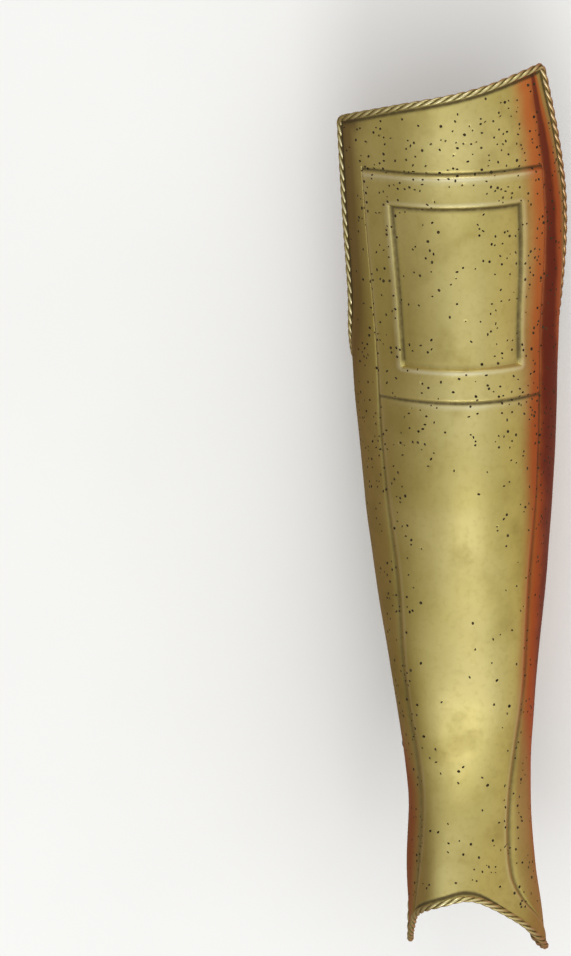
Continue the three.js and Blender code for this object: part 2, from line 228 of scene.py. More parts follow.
class Tree:
    """Adds and joins the nodes of one node tree."""

    def __init__(self, tree: NodeTree) -> None:
        """Takes the tree that is built."""
        self.tree = tree

    def add(self, kind: str, inputs: dict | None = None, **settings: object) -> Node:
        """Adds a node.

        Args:
            kind: Type of the node.
            inputs: Value or feeding socket of its inputs, by name or number.
            settings: Properties of the node.

        Returns:
            The node.
        """
        node = self.tree.nodes.new(kind)
        for name, value in settings.items():
            setattr(node, name, value)
        self.feed(node, inputs or {})
        return node

    def feed(self, node: Node, inputs: dict) -> None:
        """Gives a node's inputs, by name or number, their values or feeding sockets."""
        for key, value in inputs.items():
            socket = node.inputs[key]
            if isinstance(value, Socket):
                self.tree.links.new(value, socket)
            else:
                socket.default_value = value

    def sums(self, operation: str, *values: object) -> Socket:
        """Result of a math node on its values."""
        node = self.add("ShaderNodeMath", dict(enumerate(values)), operation=operation)
        return node.outputs[0]

    def vectors(self, operation: str, *values: object) -> Socket:
        """Vector from a vector math node on its values."""
        inputs = dict(enumerate(values))
        return self.add("ShaderNodeVectorMath", inputs, operation=operation).outputs[0]

    def scaled(self, vector: Socket, factor: Socket) -> Socket:
        """Vector times a number."""
        inputs = {0: vector, "Scale": factor}
        return self.add("ShaderNodeVectorMath", inputs, operation="SCALE").outputs[0]

    def mixed(self, share: object, first: object, second: object) -> Socket:
        """Colour between two colours."""
        inputs = {0: share, 6: first, 7: second}
        return self.add("ShaderNodeMix", inputs, data_type="RGBA").outputs[2]

    def ranged(
        self, value: Socket, low: object, high: object, to_low: float = 0.0, to_high: float = 1.0
    ) -> Socket:
        """Value carried from one range to another, smoothly and clamped."""
        inputs = {0: value, 1: low, 2: high, 3: to_low, 4: to_high}
        node = self.add("ShaderNodeMapRange", inputs, interpolation_type="SMOOTHSTEP")
        return node.outputs[0]

    def mask(self, name: str) -> Socket:
        """Value of a mesh attribute."""
        return self.add("ShaderNodeAttribute", attribute_name=name).outputs["Fac"]

    def stored(self, shape: Socket, name: str, value: Socket, kind: str) -> Socket:
        """Geometry that keeps a value of some kind at every point under a name."""
        inputs = {"Geometry": shape, "Name": name, "Value": value}
        settings = {"data_type": kind, "domain": "POINT"}
        return self.add("GeometryNodeStoreNamedAttribute", inputs, **settings).outputs[0]

    def kept(self, name: str, kind: str) -> Socket:
        """Value of some kind that the geometry keeps under a name."""
        inputs = {"Name": name}
        return self.add("GeometryNodeInputNamedAttribute", inputs, data_type=kind).outputs[0]

    def dressed(self, shape: Socket, material: Socket) -> None:
        """Puts out the geometry as real mesh in a material."""
        real = self.add("GeometryNodeRealizeInstances", {"Geometry": shape})
        inputs = {"Geometry": real.outputs[0], "Material": material}
        final = self.add("GeometryNodeSetMaterial", inputs)
        self.add("NodeGroupOutput", {0: final.outputs[0]})


def shader_group(name: str, inputs: dict[str, float], output: str) -> tuple:
    """Starts a shader node group.

    Args:
        name: Name of the group.
        inputs: Default value of each number it takes.
        output: Name of the number it puts out.

    Returns:
        The group, its builder, and its input and output nodes.
    """
    group = bpy.data.node_groups.new(name, "ShaderNodeTree")
    for label, value in inputs.items():
        socket = group.interface.new_socket(label, in_out="INPUT", socket_type="NodeSocketFloat")
        socket.default_value = value
    group.interface.new_socket(output, in_out="OUTPUT", socket_type="NodeSocketFloat")
    build = Tree(group)
    return group, build, build.add("NodeGroupInput"), build.add("NodeGroupOutput")


def geometry_group(name: str, inputs: dict[str, str]) -> tuple:
    """Starts a geometry nodes group that turns one geometry into another.

    Args:
        name: Name of the group.
        inputs: Kind of each further thing it takes.

    Returns:
        The group, its builder and the outputs of its input node.
    """
    group = bpy.data.node_groups.new(name, "GeometryNodeTree")
    for label, kind in {"Geometry": "Geometry", **inputs}.items():
        group.interface.new_socket(label, in_out="INPUT", socket_type=f"NodeSocket{kind}")
    group.interface.new_socket("Geometry", in_out="OUTPUT", socket_type="NodeSocketGeometry")
    build = Tree(group)
    return group, build, build.add("NodeGroupInput").outputs


def grown(source: Object, group: NodeTree, values: dict, name: str) -> Object:
    """Runs a geometry nodes group on an object and keeps the mesh that it makes.

    Args:
        source: The object, which is removed.
        group: The geometry nodes group.
        values: Value of each of its inputs.
        name: Name of the new object.

    Returns:
        The new object.
    """
    modifier = source.modifiers.new(group.name, "NODES")
    modifier.node_group = group
    for item in group.interface.items_tree:
        if item.in_out == "INPUT" and item.name in values:
            modifier[item.identifier] = values[item.name]
    return plain_copy(source, name)


class ShaderEffects:
    """Surface effects that several finishes share, each a shader node group."""

    def __init__(self) -> None:
        """Builds every group once."""
        self.blotches = self._blotches()
        self.drawn_grain = self._drawn_grain()
        self.grime_and_shade = self._grime_and_shade()

    @staticmethod
    def _blotches() -> NodeTree:
        """Irregular cloudy patches of a given size."""
        group, build, given, result = shader_group(
            "Blotches",
            {"Size mm": 20.0, "Softness": 0.15, "Cover": 0.5, "Seed": 0.0},
            "Mask",
        )
        place = build.add("ShaderNodeTexCoord").outputs["Object"]
        scale = build.sums("DIVIDE", 1.0 / MM, given.outputs["Size mm"])
        noise = build.add(
            "ShaderNodeTexNoise",
            {"Vector": place, "W": given.outputs["Seed"], "Scale": scale, "Detail": 5.0},
            noise_dimensions="4D",
        )
        middle = build.sums("SUBTRACT", 0.74, build.sums("MULTIPLY", given.outputs["Cover"], 0.48))
        low = build.sums("SUBTRACT", middle, given.outputs["Softness"])
        high = build.sums("ADD", middle, given.outputs["Softness"])
        mask = build.ranged(noise.outputs["Fac"], low, high)
        build.feed(result, {"Mask": mask})
        return group

    @staticmethod
    def _drawn_grain() -> NodeTree:
        """Fine lines that run along the leg, as a height."""
        group, build, given, result = shader_group(
            "Drawn grain",
            {"Across mm": 0.5, "Along mm": 14.0, "Seed": 0.0},
            "Height",
        )
        place = build.add("ShaderNodeTexCoord").outputs["Object"]
        across = build.sums("DIVIDE", 1.0 / MM, given.outputs["Across mm"])
        along = build.sums("DIVIDE", 1.0 / MM, given.outputs["Along mm"])
        stretch = build.add("ShaderNodeCombineXYZ", {"X": across, "Y": along, "Z": across})
        spread = build.vectors("MULTIPLY", place, stretch.outputs[0])
        lines = build.add(
            "ShaderNodeTexNoise",
            {"Vector": spread, "W": given.outputs["Seed"], "Scale": 1.0, "Detail": 3.0},
            noise_dimensions="4D",
        )
        build.feed(result, {"Height": lines.outputs["Fac"]})
        return group

    def _grime_and_shade(self) -> NodeTree:
        """Dirt and painted shade that sit in hollows and fray out at their edges."""
        group, build, given, result = shader_group(
            "Grime and shade",
            {"Hollow": 0.0, "Fray mm": 3.0, "Seed": 0.0},
            "Mask",
        )
        size, seed = given.outputs["Fray mm"], given.outputs["Seed"]
        inputs = {"Size mm": size, "Softness": 0.3, "Seed": seed}
        fray = build.add("ShaderNodeGroup", inputs, node_tree=self.blotches).outputs["Mask"]
        rough = build.sums("MULTIPLY_ADD", fray, 0.25, 0.85)
        held = build.sums("MULTIPLY", given.outputs["Hollow"], rough)
        build.feed(result, {"Mask": build.add("ShaderNodeClamp", {"Value": held}).outputs[0]})
        return group


@dataclass(frozen=True)
class Patches:
    """One pattern of cloudy patches, its size in millimetres."""

    size: float
    softness: float
    cover: float = 0.5
    seed: float = 0.0

    def mask(self, build: Tree, effects: ShaderEffects, seed: float = 0.0) -> Socket:
        """Places the pattern in a material.

        Args:
            build: Builder of the material's tree.
            effects: The shared surface effects.
            seed: Number that moves the pattern further on.

        Returns:
            The mask, 1 inside the patches.
        """
        inputs = {
            "Size mm": self.size, "Softness": self.softness,
            "Cover": self.cover, "Seed": self.seed + seed,
        }
        return build.add("ShaderNodeGroup", inputs, node_tree=effects.blotches).outputs["Mask"]


def new_material(name: str) -> tuple[Material, Tree, Node]:
    """Starts a material that has only its output and its Principled shader.

    Args:
        name: Name of the material.

    Returns:
        The material, its builder and its Principled shader.
    """
    material = bpy.data.materials.new(name)
    material.use_nodes = True
    material.node_tree.nodes.clear()
    build = Tree(material.node_tree)
    shader = build.add("ShaderNodeBsdfPrincipled")
    build.add("ShaderNodeOutputMaterial", {"Surface": shader.outputs[0]})
    return material, build, shader


# --- Finishes ------------------------------------------------------------------------------


@dataclass(frozen=True)
class BrassFinish:
    """Old brass rubbed bright and painted with highlights, with dirt and painted shade in its
    hollows, and red tarnish with painted reflection at its sides.
    """

    bright: tuple = (0.78, 0.69, 0.31, 1)
    gold: tuple = (0.64, 0.55, 0.19, 1)
    olive: tuple = (0.42, 0.34, 0.10, 1)
    # Near-white of rubbed wear and of painted highlights on edges that catch the light.
    wear_and_highlight: tuple = (0.98, 0.93, 0.64, 1)
    # Red and maroon: red tarnish with a painted reflection of a warm room at the sides.
    red: tuple = (0.74, 0.22, 0.07, 1)
    maroon: tuple = (0.26, 0.065, 0.045, 1)
    # Painted dark reflection and shadow, with some brown tarnish.
    brown: tuple = (0.20, 0.125, 0.07, 1)
    # Dark of the dirt in lines and joints and of the painted shade below walls and between
    # strands.
    grime_and_shade: tuple = (0.070, 0.044, 0.016, 1)
    roughness: float = 0.42
    cloud: Patches = Patches(55.0, 0.3)
    fleck: Patches = Patches(4.0, 0.12, 0.32, seed=3.0)
    stain: Patches = Patches(24.0, 0.14, 0.26, seed=6.0)
    edge: Patches = Patches(12.0, 0.3, seed=9.0)
    pricks: Patches = Patches(1.6, 0.06, 0.2, seed=1.0)
    dints: Patches = Patches(9.0, 0.5, seed=2.0)
    fleck_strength: float = 0.18
    stain_strength: float = 0.55
    grain_height: float = 0.016
    prick_height: float = -0.022
    dint_height: float = 0.08

    def material(self, name: str, effects: ShaderEffects, seed: float) -> Material:
        """Builds the brass of the plate or of the border.

        Args:
            name: Name of the material.
            effects: The shared surface effects.
            seed: Number that moves its patterns.

        Returns:
            The material, which reads the mesh's attributes: hollow (dirt and painted shade), wear
            with painted highlights, red (tarnish and painted reflection) and brown (painted dark
            reflection and shadow, with some tarnish).
        """
        made, build, shader = new_material(name)
        patterns = (self.cloud, self.fleck, self.stain, self.edge)
        cloud, fleck, stain, edge = (each.mask(build, effects, seed) for each in patterns)
        # Dirt in the chased lines and joints, with painted shade below the sunk field's walls and
        # between the rope's strands.
        inputs = {"Hollow": build.mask("hollow"), "Seed": seed}
        dirt = build.add("ShaderNodeGroup", inputs, node_tree=effects.grime_and_shade).outputs["Mask"]
        metal = build.mixed(cloud, self.bright, self.gold)
        for spots, strength in ((fleck, self.fleck_strength), (stain, self.stain_strength)):
            metal = build.mixed(build.sums("MULTIPLY", spots, strength), metal, self.olive)
        # Painted highlights, with some rubbed wear, on the embossed edges, the field's lip and the
        # rope's strands.
        half_edge = build.sums("MULTIPLY_ADD", edge, 0.5, 0.5)
        rubbed = build.sums("MULTIPLY", build.mask("wear_and_highlight"), half_edge)
        metal = build.mixed(rubbed, metal, self.wear_and_highlight)
        # Red tarnish with a painted reflection of a warm room, maroon where it is strongest.
        nearly_even = build.sums("MULTIPLY_ADD", edge, 0.16, 0.84)
        redness = build.sums("MULTIPLY", build.mask("red"), nearly_even)
        metal = build.mixed(build.ranged(redness, 0.0, 0.5, 0.0, 0.92), metal, self.red)
        metal = build.mixed(build.ranged(redness, 0.5, 0.9, 0.0, 0.95), metal, self.maroon)
        # Painted dark reflection on the inner side and painted shadow of the border by the knee
        # rim, with some brown tarnish.
        metal = build.mixed(build.mask("brown"), metal, self.brown)
        metal = build.mixed(build.ranged(dirt, 0.05, 0.95, 0.0, 0.9), metal, self.grime_and_shade)
        rough = self.roughness
        for spots, more in ((stain, 0.1), (fleck, 0.05), (dirt, 0.3)):
            rough = build.sums("MULTIPLY_ADD", spots, more, rough)
        build.feed(
            shader,
            {
                "Base Color": metal,
                "Metallic": build.ranged(dirt, 0.2, 1.0, 1.0, 0.7),
                "Roughness": rough,
                "Normal": self._normal(build, effects, seed),
            },
        )
        return made

    def _normal(self, build: Tree, effects: ShaderEffects, seed: float) -> Socket:
        """Fine grain, small pricks and soft handling marks.

        Args:
            build: Builder of the material's tree.
            effects: The shared surface effects.
            seed: Number that moves its patterns.

        Returns:
            The bent normal.
        """
        grain = build.add("ShaderNodeGroup", {"Seed": seed}, node_tree=effects.drawn_grain)
        height = build.sums("MULTIPLY", grain.outputs["Height"], self.grain_height)
        for pattern, lift in ((self.pricks, self.prick_height), (self.dints, self.dint_height)):
            spots = pattern.mask(build, effects, seed)
            height = build.sums("MULTIPLY_ADD", spots, lift, height)
        inputs = {"Strength": 1.0, "Distance": MM, "Height": height}
        return build.add("ShaderNodeBump", inputs).outputs[0]


@dataclass(frozen=True)
class PitFinish:
    """Dark dirt that fills the corrosion pits."""

    dark: tuple = (0.022, 0.015, 0.006, 1)
    light: tuple = (0.075, 0.052, 0.018, 1)
    patches: Patches = Patches(5.0, 0.2, seed=31.0)
    metallic: float = 0.4

    def material(self, effects: ShaderEffects) -> Material:
        """Builds the dirt of the pits."""
        made, build, shader = new_material("pit_dirt")
        patches = self.patches.mask(build, effects)
        build.feed(
            shader,
            {
                "Base Color": build.mixed(patches, self.dark, self.light),
                "Roughness": build.ranged(patches, 0.0, 1.0, 0.75, 0.5),
                "Metallic": self.metallic,
            },
        )
        return made


@dataclass(frozen=True)
class LeatherFinish:
    """Black greased leather thong, its grain drawn out along its length."""

    black: tuple = (0.010, 0.009, 0.009, 1)
    rubbed: tuple = (0.045, 0.038, 0.033, 1)
    rubs: Patches = Patches(7.0, 0.2, 0.4)
    rub_strength: float = 0.7
    crease_height: float = 0.25
    pore_height: float = 0.12

    def material(self, effects: ShaderEffects) -> Material:
        """Builds the leather, which reads the lace's own UV map in millimetres."""
        made, build, shader = new_material("lace_leather")
        place = build.add("ShaderNodeUVMap", uv_map="lace").outputs[0]
        stretch = build.vectors("MULTIPLY", place, (1.6, 0.28, 1.0))
        inputs = {"Vector": stretch, "Scale": 1.0, "Detail": 4.0}
        creases = build.add("ShaderNodeTexNoise", inputs).outputs["Fac"]
        inputs = {"Vector": place, "Scale": 2.2}
        pores = build.add("ShaderNodeTexVoronoi", inputs, feature="F1").outputs["Distance"]
        rubs = build.sums("MULTIPLY", self.rubs.mask(build, effects), self.rub_strength)
        height = build.sums("MULTIPLY", creases, self.crease_height)
        height = build.sums("MULTIPLY_ADD", pores, self.pore_height, height)
        bump = build.add("ShaderNodeBump", {"Strength": 1.0, "Distance": MM, "Height": height})
        build.feed(
            shader,
            {
                "Base Color": build.mixed(rubs, self.black, self.rubbed),
                "Roughness": build.ranged(creases, 0.3, 0.7, 0.42, 0.62),
                "Normal": bump.outputs[0],
            },
        )
        return made


@dataclass(frozen=True)
class FloorFinish:
    """Plain pale floor, which the polished metal sees as a dim warm room."""

    pale: tuple = (0.80, 0.80, 0.79, 1)
    mirrored_outer: tuple = (0.38, 0.19, 0.14, 1)
    mirrored_inner: tuple = (0.21, 0.14, 0.09, 1)
    reach: float = 0.12
    roughness: float = 0.8
    shade: float = 0.93

    def material(self) -> Material:
        """Builds the floor."""
        made, build, shader = new_material("pale_floor")
        place = build.add("ShaderNodeTexCoord").outputs["Object"]
        grain = build.add("ShaderNodeTexNoise", {"Vector": place, "Scale": 6.0, "Detail": 3.0})
        tint = build.ranged(grain.outputs["Fac"], 0.3, 0.7, 0.0, 0.25)
        darker = tuple(self.shade * value for value in self.pale[:3]) + (1,)
        colour = build.mixed(tint, self.pale, darker)
        build.feed(shader, {"Base Color": colour, "Roughness": self.roughness})
        across = build.add("ShaderNodeSeparateXYZ", {0: place}).outputs[0]
        side = build.ranged(across, -self.reach, self.reach)
        seen = build.mixed(side, self.mirrored_inner, self.mirrored_outer)
        glow = build.add("ShaderNodeEmission", {"Color": seen})
        path = build.add("ShaderNodeLightPath")
        inputs = {0: path.outputs["Is Glossy Ray"], 1: shader.outputs[0], 2: glow.outputs[0]}
        both = build.add("ShaderNodeMixShader", inputs)
        output = next(n for n in made.node_tree.nodes if n.type == "OUTPUT_MATERIAL")
        build.feed(output, {"Surface": both.outputs[0]})
        return made


# --- Form of the leg -----------------------------------------------------------------------


class Profile:
    """Smooth curve of one size up the leg, or round it."""

    def __init__(self, heights: tuple, values: tuple) -> None:
        """Takes the heights or angles and the size at each."""
        self.heights = np.asarray(heights, float)
        self.values = np.asarray(values, float)
        count = len(heights)
        before = np.maximum(np.arange(count) - 1, 0)
        after = np.minimum(np.arange(count) + 1, count - 1)
        rise = self.values[after] - self.values[before]
        self.slopes = rise / (self.heights[after] - self.heights[before])

    def __call__(self, height: Array) -> Array:
        """Size at each height."""
        h = np.clip(height, self.heights[0], self.heights[-1])
        i = np.clip(np.searchsorted(self.heights, h, side="left"), 1, len(self.heights) - 1)
        span = self.heights[i] - self.heights[i - 1]
        t = (h - self.heights[i - 1]) / span
        start = (2 * t**3 - 3 * t**2 + 1) * self.values[i - 1]
        end = (3 * t**2 - 2 * t**3) * self.values[i]
        pull = (t**3 - 2 * t**2 + t) * self.slopes[i - 1] + (t**3 - t**2) * self.slopes[i]
        return start + end + pull * span


SECTION_HEIGHTS = (0, 30, 65, 115, 185, 255, 325, 405, 485, 585)
BAND_HEIGHTS = (0, 12, 30, 48, 68, 115, 185, 255, 325, 405, 510, 585)
CALF_HEIGHTS = (0, 8, 40, 65, 115, 185, 255, 325, 415)
KNEE_HEIGHTS = (362, 415, 460, 500, 585)
LOWER_ANGLES = (-118, -112, -101, -86, -60, -30, 0, 15, 30, 59, 76, 90, 101, 112, 118)


@dataclass(frozen=True)
class LegForm:
    """Plain form that the plate is bent to, and the outline that it is cut to."""

    middle_line: Profile = Profile(SECTION_HEIGHTS, (-9.5, -9.5, -9.5, -4, 0.5, 5, 5, 4, 1, -8.5))
    inner: Profile = Profile(SECTION_HEIGHTS, (23, 23.5, 24.5, 28.7, 42, 57, 64, 68.5, 70, 64.5))
    outer: Profile = Profile(SECTION_HEIGHTS, (62.5, 60.5, 56, 48, 48, 51, 56.5, 60.5, 67.5, 66))
    front: Profile = Profile(
        SECTION_HEIGHTS, (-66, -62, -55.5, -45.5, -47, -48, -51, -50, -49, -53.5)
    )
    side_line: Profile = Profile(SECTION_HEIGHTS, (-1, -6, -10, -6.5, -1.5, 3, 9.5, 4.5, 1, -16))
    back: Profile = Profile(SECTION_HEIGHTS, (64, 58, 50, 70, 93, 94, 86, 88, 70, 55))
    corner: Profile = Profile(
        SECTION_HEIGHTS, (0.1, 0.1, 0.08, 0, -0.08, -0.02, 0.02, 0.1, 0.1, 0.1)
    )
    band: Profile = Profile(
        BAND_HEIGHTS, (100, 91, 74, 56, 46, 42, 46.5, 46, 52, 57.5, 60, 61)
    )
    swing: Profile = Profile(BAND_HEIGHTS, (2, 3, 5, 6, 6.5, 4.5, 1, -1, -1, -0.5, 0, 0))
    calf_edge: Profile = Profile(CALF_HEIGHTS, (108, 112, 131, 141, 137, 149, 140.5, 134, 117))
    knee_edge: Profile = Profile(KNEE_HEIGHTS, (94, 94, 89, 85, 72))
    knee_edge_inner: float = 81
    wing_corner: float = 355
    wing_end: float = 435
    wing_power: float = 1.9
    lower_edge: Profile = Profile(
        LOWER_ANGLES, (18, 14, 11.5, 20, 37.5, 47.5, 54, 55.5, 51, 33.5, 18, 8.5, 5.5, 8, 12)
    )
    top_low: float = 541
    top_high: float = 575
    top_reach: float = 80
    sheet: float = 1.2
    border_inset: float = 2.5
    pitch: float = -5.28

    def point(self, angle: Array, height: Array) -> Array:
        """Points of the form.

        Args:
            angle: Degrees from the front, below zero on the inner side.
            height: Height up the leg.

        Returns:
            Points, one for each angle and height.
        """
        turn = np.radians(angle)
        sin, cos = np.sin(turn), np.cos(turn)
        half = (self.inner(height) + self.outer(height)) / 2
        lean = (self.outer(height) - self.inner(height)) / 2
        side = self.side_line(height)
        pinch = np.where(cos > 0, 1 - self.corner(height) * np.sin(2 * turn) ** 2, 1.0)
        ahead = (self.front(height) - side) * cos * pinch
        behind = -self.back(height) * cos
        x = self.middle_line(height) + (half * sin + lean * sin * sin) * pinch
        y = side + np.where(cos > 0, ahead, behind)
        return np.stack([x, y, height + 0 * x], -1)

    def normal(self, angle: Array, height: Array) -> Array:
        """Outward normals of the form, one for each angle and height."""
        around = self.point(angle + 0.5, height) - self.point(angle - 0.5, height)
        up = self.point(angle, height + 1) - self.point(angle, height - 1)
        cross = np.cross(around, up)
        return cross / np.linalg.norm(cross, axis=-1, keepdims=True)

    def per_degree(self, angle: Array, height: Array) -> Array:
        """Distance round the form that one degree covers."""
        step = self.point(angle + 0.5, height) - self.point(angle - 0.5, height)
        return np.linalg.norm(step, axis=-1)

    def edge_angle(self, height: Array, side: Array) -> Array:
        """Degrees from the front to the back edge.

        Args:
            height: Height up the leg.
            side: Sign of the side.

        Returns:
            The angle of the edge, always above zero.
        """
        knee = np.where(side < 0, self.knee_edge_inner, self.knee_edge(height))
        share = np.clip((self.wing_end - height) / (self.wing_end - self.wing_corner), 0, 1)
        corner = self.calf_edge(np.full_like(height, self.wing_corner, dtype=float))
        wing = knee + (corner - knee) * share**self.wing_power
        return np.where(height <= self.wing_corner, self.calf_edge(height), wing)

    def upper_edge(self, angle: Array) -> Array:
        """Height of the top edge, which climbs from the inner side to the outer side."""
        share = (angle + self.top_reach) / (2 * self.top_reach)
        return self.top_low + (self.top_high - self.top_low) * share

    def turned(self, points: Array) -> Array:
        """Points turned from upright to lying on the back edges, still in millimetres."""
        turn = Matrix.Rotation(math.radians(-90 + self.pitch), 3, "X")
        return points @ np.array(turn).T


# --- Plate ---------------------------------------------------------------------------------


@dataclass(frozen=True)
class Ripple:
    """Slight unevenness left by the hammer, as a sum of waves."""

    waves: int = 26
    shortest: float = 22
    longest: float = 75
    height: float = 0.035
    usual_length: float = 50
    seed: int = 5

    def __call__(self, across: Array, along: Array) -> Array:
        """Height of the unevenness.

        Args:
            across: Distance round the leg.
            along: Height up the leg.

        Returns:
            Height at each place.
        """
        rng = np.random.default_rng(self.seed)
        total = np.zeros(np.broadcast(across, along).shape)
        for _ in range(self.waves):
            length = rng.uniform(self.shortest, self.longest)
            heading = rng.uniform(0, math.pi)
            phase = rng.uniform(0, 2 * math.pi)
            way = across * math.cos(heading) + along * math.sin(heading)
            wave = np.sin(2 * math.pi * way / length + phase)
            total += self.height * wave * length / self.usual_length
        return total


@dataclass(frozen=True)
class StrapSlot:
    """Slanted slot for a strap, beside a back edge."""

    height: float
    length: float
    width: float = 5
    inset: float = 14.5
    depth: float = 4.0
    steps: int = 8

    def cutter(self, form: LegForm, side: Side) -> tuple[Array, list]:
        """Straight-sided cutter with round ends.

        Args:
            form: The leg form.
            side: The side that the slot is on.

        Returns:
            Its points upright, and its faces.
        """
        sign = side.value
        half = self.length / 2
        heights = np.array([self.height - half, self.height, self.height + half])
        edge = sign * form.edge_angle(heights, sign)
        angle = edge - sign * self.inset / form.per_degree(edge, heights)
        low, middle, high = form.point(angle, heights)
        outward = form.normal(angle, heights)[1]
        along = (high - low) / np.linalg.norm(high - low)
        across = np.cross(outward, along)
        across /= np.linalg.norm(across)
        outward = np.cross(along, across)
        radius = self.width / 2
        turns = np.linspace(-math.pi / 2, math.pi / 2, self.steps + 1)
        ends = [(half - radius + radius * math.cos(t), radius * math.sin(t)) for t in turns]
        outline = ends + [(-u, -v) for u, v in ends]
        count = len(outline)
        points = [
            middle + along * u + across * v + outward * w
            for w in (-self.depth, self.depth)
            for u, v in outline
        ]
        walls = [(i, (i + 1) % count, count + (i + 1) % count, count + i) for i in range(count)]
        caps = [tuple(reversed(range(count))), tuple(range(count, 2 * count))]
        return np.array(points), walls + caps


@dataclass(frozen=True)
class Pitting:
    """Corrosion pits scattered over the outer face as small dark dents."""

    spacing: float = 2.2
    per_square_metre: float = 38000
    smallest: float = 0.45
    largest: float = 1.2
    lift: float = 0.32
    roundness: int = 2
    seed: int = 11
    size_seed: int = 1
    spin_seed: int = 2

    def _tree(self) -> NodeTree:
        """Geometry nodes that set a rough ball at each pit."""
        floats = dict.fromkeys(("Spacing", "Density", "Smallest", "Largest", "Lift"), "Float")
        others = {"Roundness": "Int", "Seed": "Int", "Dirt": "Material"}
        group, build, given = geometry_group("Pit cutters", {**floats, **others})
        scattered = build.add(
            "GeometryNodeDistributePointsOnFaces",
            {
                "Mesh": given["Geometry"],
                "Distance Min": given["Spacing"],
                "Density Max": given["Density"],
                "Density Factor": build.kept("pitting", "FLOAT"),
                "Seed": given["Seed"],
            },
            distribute_method="POISSON",
        )
        up = build.scaled(scattered.outputs["Normal"], given["Lift"])
        inputs = {"Geometry": scattered.outputs["Points"], "Offset": up}
        lifted = build.add("GeometryNodeSetPosition", inputs)
        inputs = {"Radius": 1.0, "Subdivisions": given["Roundness"]}
        ball = build.add("GeometryNodeMeshIcoSphere", inputs)
        full_turn = (6.28, 6.28, 6.28)
        spin = self._random(build, (0.0, 0.0, 0.0), full_turn, self.spin_seed)
        euler = build.add("FunctionNodeEulerToRotation", {0: spin})
        placed = build.add(
            "GeometryNodeInstanceOnPoints",
            {
                "Points": lifted.outputs[0],
                "Instance": ball.outputs[0],
                "Rotation": euler.outputs[0],
                "Scale": self._random(build, given["Smallest"], given["Largest"], self.size_seed),
            },
        )
        build.dressed(placed.outputs[0], given["Dirt"])
        return group

    @staticmethod
    def _random(build: Tree, low: object, high: object, seed: int) -> Socket:
        """Random vector with each part between two values."""
        inputs = {0: low, 1: high, "Seed": seed}
        return build.add("FunctionNodeRandomValue", inputs, data_type="FLOAT_VECTOR").outputs[0]

    def cutters(self, plate: Object, dirt: Material) -> Object:
        """Scatters the cutters over a copy of the plate.

        Args:
            plate: The plate, with its pitting attribute.
            dirt: Material of the pits.

        Returns:
            All cutters as one mesh object.
        """
        source = linked("pit_source", plate.data.copy())
        values = {
            "Spacing": self.spacing * MM,
            "Density": self.per_square_metre,
            "Smallest": self.smallest * MM,
            "Largest": self.largest * MM,
            "Lift": self.lift * MM,
            "Roundness": self.roundness,
            "Seed": self.seed,
            "Dirt": dirt,
        }
        return grown(source, self._tree(), values, "pit_cutters")


@dataclass(frozen=True)
class Emboss:
    """Raised front band, framed panel and sunk field."""

    panel_top: float = 510
    panel_bottom: float = 370
    sunk_top: float = 490
    sunk_bottom: float = 390
    sunk_share: float = 0.66
    panel_raise: float = 1.6
    band_raise: float = 0.8
    sunk_depth: float = 2.0
    shoulder: float = 1.5
    wall: float = 1.2
    line_depth: float = 0.6
    line_width: float = 1.2
    line_out: float = 1.3
    bottom_line_out: float = 1.1
    bottom_line_share: float = 1.15
    lip: float = 0.18
    lip_out: float = 2.6
    lip_width: float = 1.7

    def distances(self, share: Array, height: Array, width: Array) -> dict[str, Array]:
        """Signed distances to the embossed outlines, above zero inside them.

        Args:
            share: Place across the band, 1 at its edge.
            height: Height up the leg.
            width: Width of half the band there.

        Returns:
            Distances to the band's side, the panel's top and bottom, and the sunk field.
        """
        band = (1 - share) * width
        sunk_side = (self.sunk_share - share) * width
        sunk_ends = np.minimum(height - self.sunk_bottom, self.sunk_top - height)
        outside = np.hypot(np.minimum(sunk_side, 0), np.minimum(sunk_ends, 0))
        sunk = np.where(outside > 0, -outside, np.minimum(sunk_side, sunk_ends))
        return {
            "band": band,
            "top": self.panel_top - height,
            "bottom": height - self.panel_bottom,
            "sunk": sunk,
        }

    def relief(self, away: dict[str, Array]) -> Array:
        """Height of the embossing over the plain form, from the distances to its outlines."""
        in_panel = smooth_step(away["bottom"], self.wall)
        raised = self.band_raise + (self.panel_raise - self.band_raise) * in_panel
        body = smooth_step(away["band"], self.shoulder) * smooth_step(away["top"], self.shoulder)
        lip = self.lip * ridge(away["sunk"] + self.lip_out, self.lip_width)
        sunk = self.sunk_depth * smooth_step(away["sunk"], self.wall)
        return raised * body + lip - sunk - self.line_depth * self.lines(away)

    def lines(self, away: dict[str, Array]) -> Array:
        """Strength, 0 to 1, of the lines that are chased along the outlines."""
        inside = self.inside(away["band"])
        side = ridge(away["band"] + self.line_out, self.line_width) * self.inside(away["top"])
        top = ridge(away["top"] + self.line_out, self.line_width) * inside
        bottom_width = self.bottom_line_share * self.line_width
        bottom = ridge(away["bottom"] + self.bottom_line_out, bottom_width) * inside
        return np.maximum(np.maximum(side, top), bottom)

    @staticmethod
    def inside(distance: Array) -> Array:
        """Share, 0 to 1, by which a line is inside an outline or runs along it."""
        return smooth_step(distance + 2.2, 1.2)


